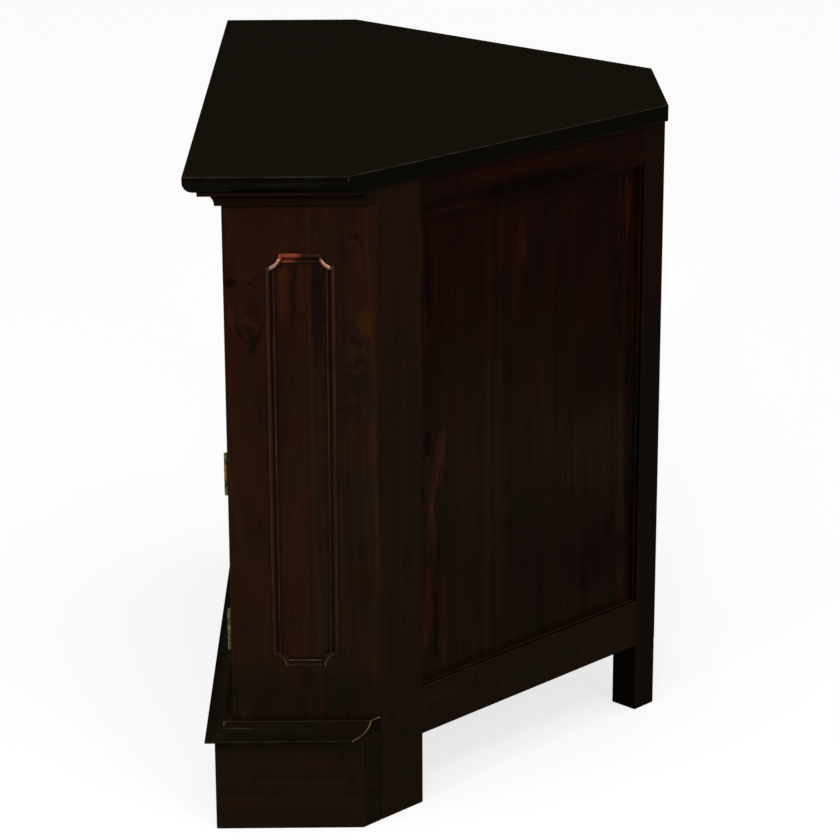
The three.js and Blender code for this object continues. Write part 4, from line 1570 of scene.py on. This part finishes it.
@dataclass
class Carcass:
    """The plinth boards, front frame, shelves and back."""

    arris: float = 0.0009
    inner_arris: float = 0.0006
    plinth_tone: Colour = (1.0, 1.05, 1.0)
    back_joints: Span = (-0.036, 0.041)
    back_line: Span = (0.0008, 0.0005)
    screw_inset: float = 0.016
    screw_margin: float = 1.8  # the insets between a screw and the panel's upright edge
    screw_turn: float = 0.7  # radians from one screw's slot to the next
    screw_rows: int = 5
    screw: Screw = field(default_factory=Screw)

    def build(self) -> None:
        """Makes the pieces."""
        for word, grain, face in (("front", Grain.ACROSS, FRONT), ("right", Grain.DEEP, RIGHTWARD),
                                  ("left", Grain.DEEP, -RIGHTWARD)):
            self._board(f"plinth_{word}", Stock(grain, face, Sawing.RIFT, self.plinth_tone), MAHOGANY)
        for hand in Hand:
            self._board(f"front_stile_{hand.word}", Stock(Grain.UP, FRONT), MAHOGANY)
            self._board(f"shelf_cleat_{hand.word}", Stock(Grain[f"WALL_{hand.name}"], UP), INSIDE_WOOD)
        for place in ("top", "middle", "bottom"):
            self._board(f"front_{place}_rail", Stock(Grain.ACROSS, FRONT), MAHOGANY)
        for node, finish in (("niche_shelf", SHELF_MAHOGANY), ("bottom_board", INSIDE_WOOD),
                             ("cupboard_shelf", INSIDE_WOOD)):
            self._board(node, Stock(Grain.ACROSS, UP, Sawing.FLAT), finish)
        self._back()

    def _board(self, node: str, stock: Stock, finish: Wood) -> None:
        """Makes a planed board from its solid."""
        Piece(f"planed_{node}", node).ease(self.arris).sawn_from(stock).set_on("cabinet", finish)

    def _back(self) -> None:
        """Makes the back from three boards, screwed to the posts and the top."""
        low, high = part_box("back_panel")
        stock = Stock(Grain.UP, BACK, Sawing.FLAT)
        boards = [(str(number), stock) for number in range(len(self.back_joints) + 1)]
        piece = Piece("boarded_back", "back_panel").ease(self.inner_arris)
        piece.glue_up(BACK * high.y, RIGHTWARD, self.back_joints, self.back_line, boards)
        piece.set_on("cabinet", INSIDE_WOOD)
        out = high.x - self.screw_margin * self.screw_inset
        foot = low.z + self.screw_inset
        step = (high.z - foot - self.screw_inset) / (self.screw_rows - 1)
        places = [facing((side * out, high.y, foot + step * row), BACK, self.screw_turn * row + side)
                  for row in range(self.screw_rows) for side in (-1, 1)]
        self.screw.row("back_screws", places, "cabinet", STEEL)


@dataclass
class Knob:
    """A turned brass knob on a rose."""

    length: float = 0.022
    head_radius: float = 0.011
    neck_radius: float = 0.0045
    rose_radius: float = 0.009
    rose_thickness: float = 0.0025
    head_thickness: float = 0.011
    # the rose's outline in shares of its radius and thickness
    rose: tuple[Span, ...] = ((1.0, 0.0), (1.0, 0.6), (0.9, 1.0), (0.66, 1.05), (0.6, 1.4))
    # the neck's radius in shares: at its ends, less in its middle, more at the head
    neck: Point = (1.15, -0.3, 0.25)
    # the part of a half turn that the head's outline runs through
    head: Span = (0.08, 0.5)
    neck_steps: int = 7
    head_steps: int = 15
    steps: int = 48
    crisp: float = math.radians(28)

    def build(self, hand: Hand) -> None:
        """Turns the knob and sets it on its door.

        Args:
            hand: Which door.
        """
        node = f"door_knob_{hand.word}"
        low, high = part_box(node)
        piece = Piece(f"turned_knob_{hand.word}", node, copied=False)
        outline = Outline(piece, 0, 0)
        for radius, rise in self._profile():
            outline.line_to(radius, rise)
        piece.move(UPRIGHT)
        bmesh.ops.spin(piece.bm, geom=piece.bm.verts[:] + piece.bm.edges[:], cent=(0, 0, 0), axis=UP,
                       angle=2 * math.pi, steps=self.steps, use_merge=True, use_duplicate=False)
        bmesh.ops.remove_doubles(piece.bm, verts=piece.bm.verts, dist=SAME_PLACE)
        bmesh.ops.recalc_face_normals(piece.bm, faces=piece.bm.faces)
        middle = (low + high) / 2
        piece.move(facing((middle.x, high.y, middle.z), FRONT))
        piece.set_on(f"door_{hand.word}", BRASS, crisp=self.crisp)

    def _profile(self) -> list[Span]:
        """Works out the knob's outline after the middle of its rose.

        Returns:
            Radius and rise of each point, up to the middle of the head.
        """
        points = [(out * self.rose_radius, up * self.rose_thickness) for out, up in self.rose]
        foot, head = points[-1][1], self.length - self.head_thickness
        ends, middle, flare = self.neck
        for share in (step / self.neck_steps for step in range(1, self.neck_steps + 1)):
            waist = ends + middle * math.sin(math.pi * share) + flare * share
            points.append((self.neck_radius * waist, foot + (head - foot) * share))
        start, end = self.head
        for share in (step / self.head_steps for step in range(1, self.head_steps)):
            out = math.sin(2 * math.pi * (start + (end - start) * share))
            up = (1 - math.cos(math.pi * share)) / 2
            points.append((self.head_radius * out, head + self.head_thickness * up))
        return [*points, (0.0, self.length)]


@dataclass
class Door:
    """A cupboard door: a frame with a panel, a notched frame planted on it and a knob."""

    hand: Hand
    arris: float = 0.0012
    ring: NotchedMoulding = field(default_factory=NotchedMoulding)
    knob: Knob = field(default_factory=Knob)

    def build(self) -> None:
        """Makes the door's pieces, all riding on its body."""
        word = self.hand.word
        body = f"door_{word}"
        for part, grain in (("hinge_stile", Grain.UP), ("meeting_stile", Grain.UP),
                            ("top_rail", Grain.ACROSS), ("bottom_rail", Grain.ACROSS), ("panel", Grain.UP)):
            piece = Piece(f"planed_door_{part}_{word}", f"door_{part}_{word}").ease(self.arris)
            piece.sawn_from(Stock(grain, FRONT, Sawing.FLAT)).set_on(body, MAHOGANY)
        node = f"door_moulding_{word}"
        low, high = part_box(node)
        middle = (low + high) / 2
        place = Matrix.Translation((middle.x, high.y, middle.z)) @ UPRIGHT
        self.ring.build(Piece(f"notched_door_frame_{word}", node, copied=False),
                        (high.x - low.x, high.z - low.z), place, body, Stock(Grain.UP, FRONT),
                        MOULDING_MAHOGANY)
        self.knob.build(self.hand)


@dataclass
class ButtHinge:
    """A brass butt hinge: two leaves with screws, and three knuckles on a pin with domed ends."""

    hand: Hand
    place: str
    leaf: float = 0.001
    knuckle: float = 0.003
    end_knuckle: float = 0.012
    knuckle_gap: float = 0.0002
    barrel_gap: float = 0.0005
    barrel_steps: int = 28
    rim: float = 0.0005
    leaf_clearance: float = 0.0005
    neck_lap: float = 0.0004
    pin: float = 0.0021
    pin_head: float = 0.0009
    pin_steps: tuple[int, int] = (24, 10)
    rounded_corner: float = 0.0015
    corner_steps: int = 5
    crisp: float = math.radians(32)
    screw: Screw = field(default_factory=lambda: Screw(0.0024, 0.00005, 0.0008, 0.0006, 0.0003))
    screw_spacing: float = 0.0155
    screw_out: float = 0.012
    screw_stagger: float = 0.002  # how far the outer screws lie nearer to the pin
    screw_turn: float = 0.9  # radians from one screw's slot to the next

    def build(self) -> None:
        """Makes both leaves and their screws."""
        low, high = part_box(f"{self.place}_hinge_cabinet_leaf_{self.hand.word}")
        axis_x = high.x - self.knuckle if self.hand is Hand.LEFT else low.x + self.knuckle
        self.axis = Vector((axis_x, low.y + self.knuckle, (low.z + high.z) / 2))
        self.half = (high.z - low.z) / 2
        self.deep = high.y
        end = self.half - self.end_knuckle
        middle = end - self.barrel_gap
        self._leaf("cabinet", "cabinet", self.hand.value, [(end, self.half), (-self.half, -end)])
        self._leaf("door", f"door_{self.hand.word}", -self.hand.value, [(-middle, middle)])

    def _leaf(self, kind: str, body: str, side: int, spans: Sequence[Span]) -> None:
        """Makes one leaf with its knuckles and screws.

        Args:
            kind: cabinet or door.
            body: What it rides on.
            side: The side of the axis that the leaf lies on, 1 or -1 along X.
            spans: The levels of the axis between which it has a knuckle.
        """
        piece = Piece(f"{self.place}_butt_{kind}_{self.hand.word}",
                      f"{self.place}_hinge_{kind}_leaf_{self.hand.word}", copied=False)
        inner = self.axis.x + side * self.knuckle_gap / 2
        near, far = sorted((inner, inner + side * self.leaf))
        clear = self.axis.y + self.knuckle + self.leaf_clearance
        plate = cube("plate", (near, clear, self.axis.z - self.half),
                     (far, self.deep, self.axis.z + self.half))
        corners = [edge for edge in plate.bm.edges
                   if abs(edge.verts[0].co.x - edge.verts[1].co.x) > self.leaf / 2
                   and edge.verts[0].co.y > self.deep - SAME_PLACE]
        piece.add(plate.ease(self.rounded_corner, corners, segments=self.corner_steps, worn=0.0))
        for start, end in spans:
            piece.add(cube("neck", (near, self.axis.y, self.axis.z + start),
                           (far, clear + self.neck_lap, self.axis.z + end)))
            piece.add(self._barrel(end - start), Matrix.Translation(self.axis + UP * ((start + end) / 2)))
        if kind == "cabinet":
            ends = (Matrix.Translation(self.axis + UP * level) for level in (-self.half, self.half))
            piece.add(self._pin_head(), *ends)
        piece.set_on(body, BRASS, crisp=self.crisp)
        places = [
            facing((inner, self.axis.y + self.screw_out - self.screw_stagger * abs(row),
                    self.axis.z + row * self.screw_spacing), RIGHTWARD * -side, self.screw_turn * row)
            for row in (-1, 0, 1)
        ]
        self.screw.row(f"{self.place}_butt_screws_{kind}_{self.hand.word}", places, body, BRASS)

    def _barrel(self, length: float) -> Piece:
        """Shapes a knuckle about the origin.

        Args:
            length: Its length along Z.

        Returns:
            The knuckle as a loose piece.
        """
        barrel = Piece("barrel")
        bmesh.ops.create_cone(barrel.bm, cap_ends=True, segments=self.barrel_steps, radius1=self.knuckle,
                              radius2=self.knuckle, depth=length)
        rims = [edge for edge in barrel.bm.edges if abs(edge.verts[0].co.z - edge.verts[1].co.z) < WELD]
        return barrel.ease(self.rim, rims)

    def _pin_head(self) -> Piece:
        """Shapes a domed end of the pin about the origin.

        Returns:
            The dome as a loose piece.
        """
        dome = Piece("dome")
        round_steps, rise_steps = self.pin_steps
        bmesh.ops.create_uvsphere(dome.bm, u_segments=round_steps, v_segments=rise_steps, radius=self.pin)
        bmesh.ops.scale(dome.bm, vec=(1, 1, self.pin_head / self.pin), verts=dome.bm.verts)
        return dome


@dataclass
class Catch:
    """The magnetic catch under the niche shelf and the strike plates on the doors."""

    rounding: float = 0.0014
    rounding_steps: int = 3
    pole_rim: float = 0.002
    pole_proud: float = 0.0001
    pole_depth: float = 0.003
    pole_arris: float = 0.0003
    plate_arris: float = 0.0004
    screw: Screw = field(default_factory=lambda: Screw(0.0026, 0.0001, 0.0008))

    def build(self) -> None:
        """Makes the catch and its plates."""
        body = Piece("catch_body", "door_catch").ease(self.rounding, segments=self.rounding_steps, worn=0.0)
        body.set_on("cabinet", BROWN_PLASTIC)
        front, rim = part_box("door_catch")[0].y, self.pole_rim
        for hand in Hand:
            door = f"door_{hand.word}"
            near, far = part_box(f"strike_plate_{hand.word}")
            pole = cube(f"catch_pole_{hand.word}", (near.x + rim, front - self.pole_proud, near.z + rim),
                        (far.x - rim, front + self.pole_depth, far.z - rim))
            pole.ease(self.pole_arris, worn=0.0).set_on("cabinet", STEEL)
            plate = Piece(f"strike_{hand.word}", f"strike_plate_{hand.word}").ease(self.plate_arris, worn=0.0)
            plate.set_on(door, STEEL)
            seat = ((near.x + far.x) / 2, far.y, (near.z + far.z) / 2)
            self.screw.row(f"strike_screw_{hand.word}", [facing(seat, BACK)], door, STEEL)


@dataclass(frozen=True)
class Lamp:
    """A square studio lamp that looks at the cabinet."""

    name: str
    place: Point
    size: float
    radiance: float
    aim: Point = (0.1, 0.0, 0.4)

    def build(self) -> None:
        """Hangs the lamp."""
        light = bpy.data.lights.new(self.name, "AREA")
        light.shape = "SQUARE"
        light.size = self.size
        light.energy = self.radiance * math.pi * self.size ** 2
        made = bpy.data.objects.new(self.name, light)
        made.matrix_world = facing(self.place, Vector(self.place) - Vector(self.aim))
        made.visible_camera = False
        bpy.context.scene.collection.objects.link(made)


@dataclass
class Studio:
    """The camera, floor, backdrop and lamps."""

    picture_width: float = 840.0
    sensor: float = 36.0
    focal_pixels: float = 2963.6
    camera_place: Point = (3.6368, -0.05785, 1.4867)
    yaw: float = 0.0108
    pitch: float = 0.3037
    roll: float = -0.0036
    floor_size: float = 60.0
    floor_glow: float = 0.74
    floor_seen: float = 0.34
    floor_bounce: float = 0.42
    ambient: float = 0.62
    lamps: tuple[Lamp, ...] = (
        Lamp("front softbox", (2.6, 0.1, 2.7), 1.1, 3.0),
        Lamp("left softbox", (1.7, -2.4, 1.9), 1.0, 2.6),
        Lamp("right softbox", (1.9, 2.5, 1.7), 1.0, 2.4),
        Lamp("left spark", (2.69, -1.93, 1.6), 0.3, 60.0),
        Lamp("right spark", (2.8, 1.5, 1.64), 0.3, 50.0),
        Lamp("front spark", (2.9, -0.24, 2.4), 0.3, 40.0),
    )

    def build(self) -> None:
        """Sets up the whole studio."""
        bpy.context.scene.view_settings.view_transform = "Standard"
        self._camera()
        self._floor()
        self._world()
        for lamp in self.lamps:
            lamp.build()

    def _camera(self) -> None:
        """Places the camera as the photograph's."""
        data = bpy.data.cameras.new("camera")
        data.sensor_width = self.sensor
        data.lens = self.focal_pixels / self.picture_width * self.sensor
        ahead = Vector((-math.cos(self.yaw) * math.cos(self.pitch), math.sin(self.yaw) * math.cos(self.pitch),
                        -math.sin(self.pitch)))
        right = ahead.cross(UP).normalized()
        up = right.cross(ahead)
        turned_right = right * math.cos(self.roll) + up * math.sin(self.roll)
        turned_up = up * math.cos(self.roll) - right * math.sin(self.roll)
        turn = Matrix((turned_right, turned_up, -ahead)).transposed().to_4x4()
        made = bpy.data.objects.new("camera", data)
        made.matrix_world = Matrix.Translation(self.camera_place) @ turn
        bpy.context.scene.collection.objects.link(made)
        bpy.context.scene.camera = made

    @staticmethod
    def _seen(tree: Tree) -> Socket:
        """Tells what the camera, a reflection or a clear pane shows from light on other surfaces.

        Args:
            tree: The material's or world's nodes.

        Returns:
            1 for what is shown and 0 for that light.
        """
        path = tree.node("ShaderNodeLightPath")
        seen = tree.math("MAXIMUM", path.outputs["Is Camera Ray"], path.outputs["Is Glossy Ray"])
        return tree.math("MAXIMUM", seen, path.outputs["Is Transmission Ray"])

    def _floor(self) -> None:
        """Lays a plain white floor, which gives back less light than it shows."""
        material = bpy.data.materials.new("studio floor")
        tree = Tree(material)
        seen = self._seen(tree)
        tone = tree.spread(seen, 0.0, 1.0, self.floor_bounce, self.floor_seen)
        lit = tree.node("ShaderNodeBsdfDiffuse", {"Color": tone})
        glow = tree.node("ShaderNodeEmission", {"Strength": tree.math("MULTIPLY", seen, self.floor_glow)})
        both = tree.node("ShaderNodeAddShader", {0: lit.outputs[0], 1: glow.outputs[0]})
        tree.end("Material", both.outputs[0])
        bm = bmesh.new()
        bmesh.ops.create_grid(bm, x_segments=1, y_segments=1, size=self.floor_size / 2)
        mesh = bpy.data.meshes.new("studio_floor")
        bm.to_mesh(mesh)
        bm.free()
        floor = bpy.data.objects.new("studio_floor", mesh)
        floor.data.materials.append(material)
        bpy.context.scene.collection.objects.link(floor)

    def _world(self) -> None:
        """Gives the world a soft light, and white where it is seen."""
        world = bpy.data.worlds.new("studio")
        bpy.context.scene.world = world
        tree = Tree(world)
        soft, white = (tree.node("ShaderNodeBackground", {"Color": WHITE, "Strength": strength}).outputs[0]
                       for strength in (self.ambient, 1.0))
        both = tree.node("ShaderNodeMixShader", {0: self._seen(tree), 1: soft, 2: white})
        tree.end("World", both.outputs[0])


def main() -> None:
    """Builds the cabinet and its studio."""
    logging.basicConfig(level=logging.INFO, format="%(message)s")
    Studio().build()
    TopBoard().build()
    PlantedMouldings("cornice", CorniceSection().draw, CORNICE_MAHOGANY, worn=0.4, hollow_shade=0.32).build()
    PlantedMouldings("base_moulding", BaseSection().draw, BASE_MAHOGANY, FRONT_BASE_MAHOGANY,
                     end_arris=0.0008).build()
    Carcass().build()
    for hand in Hand:
        for part in (ReturnSide(hand), WallSide(hand), Door(hand), ButtHinge(hand, "upper"),
                     ButtHinge(hand, "lower")):
            part.build()
    Catch().build()


if __name__ == "__main__":
    main()
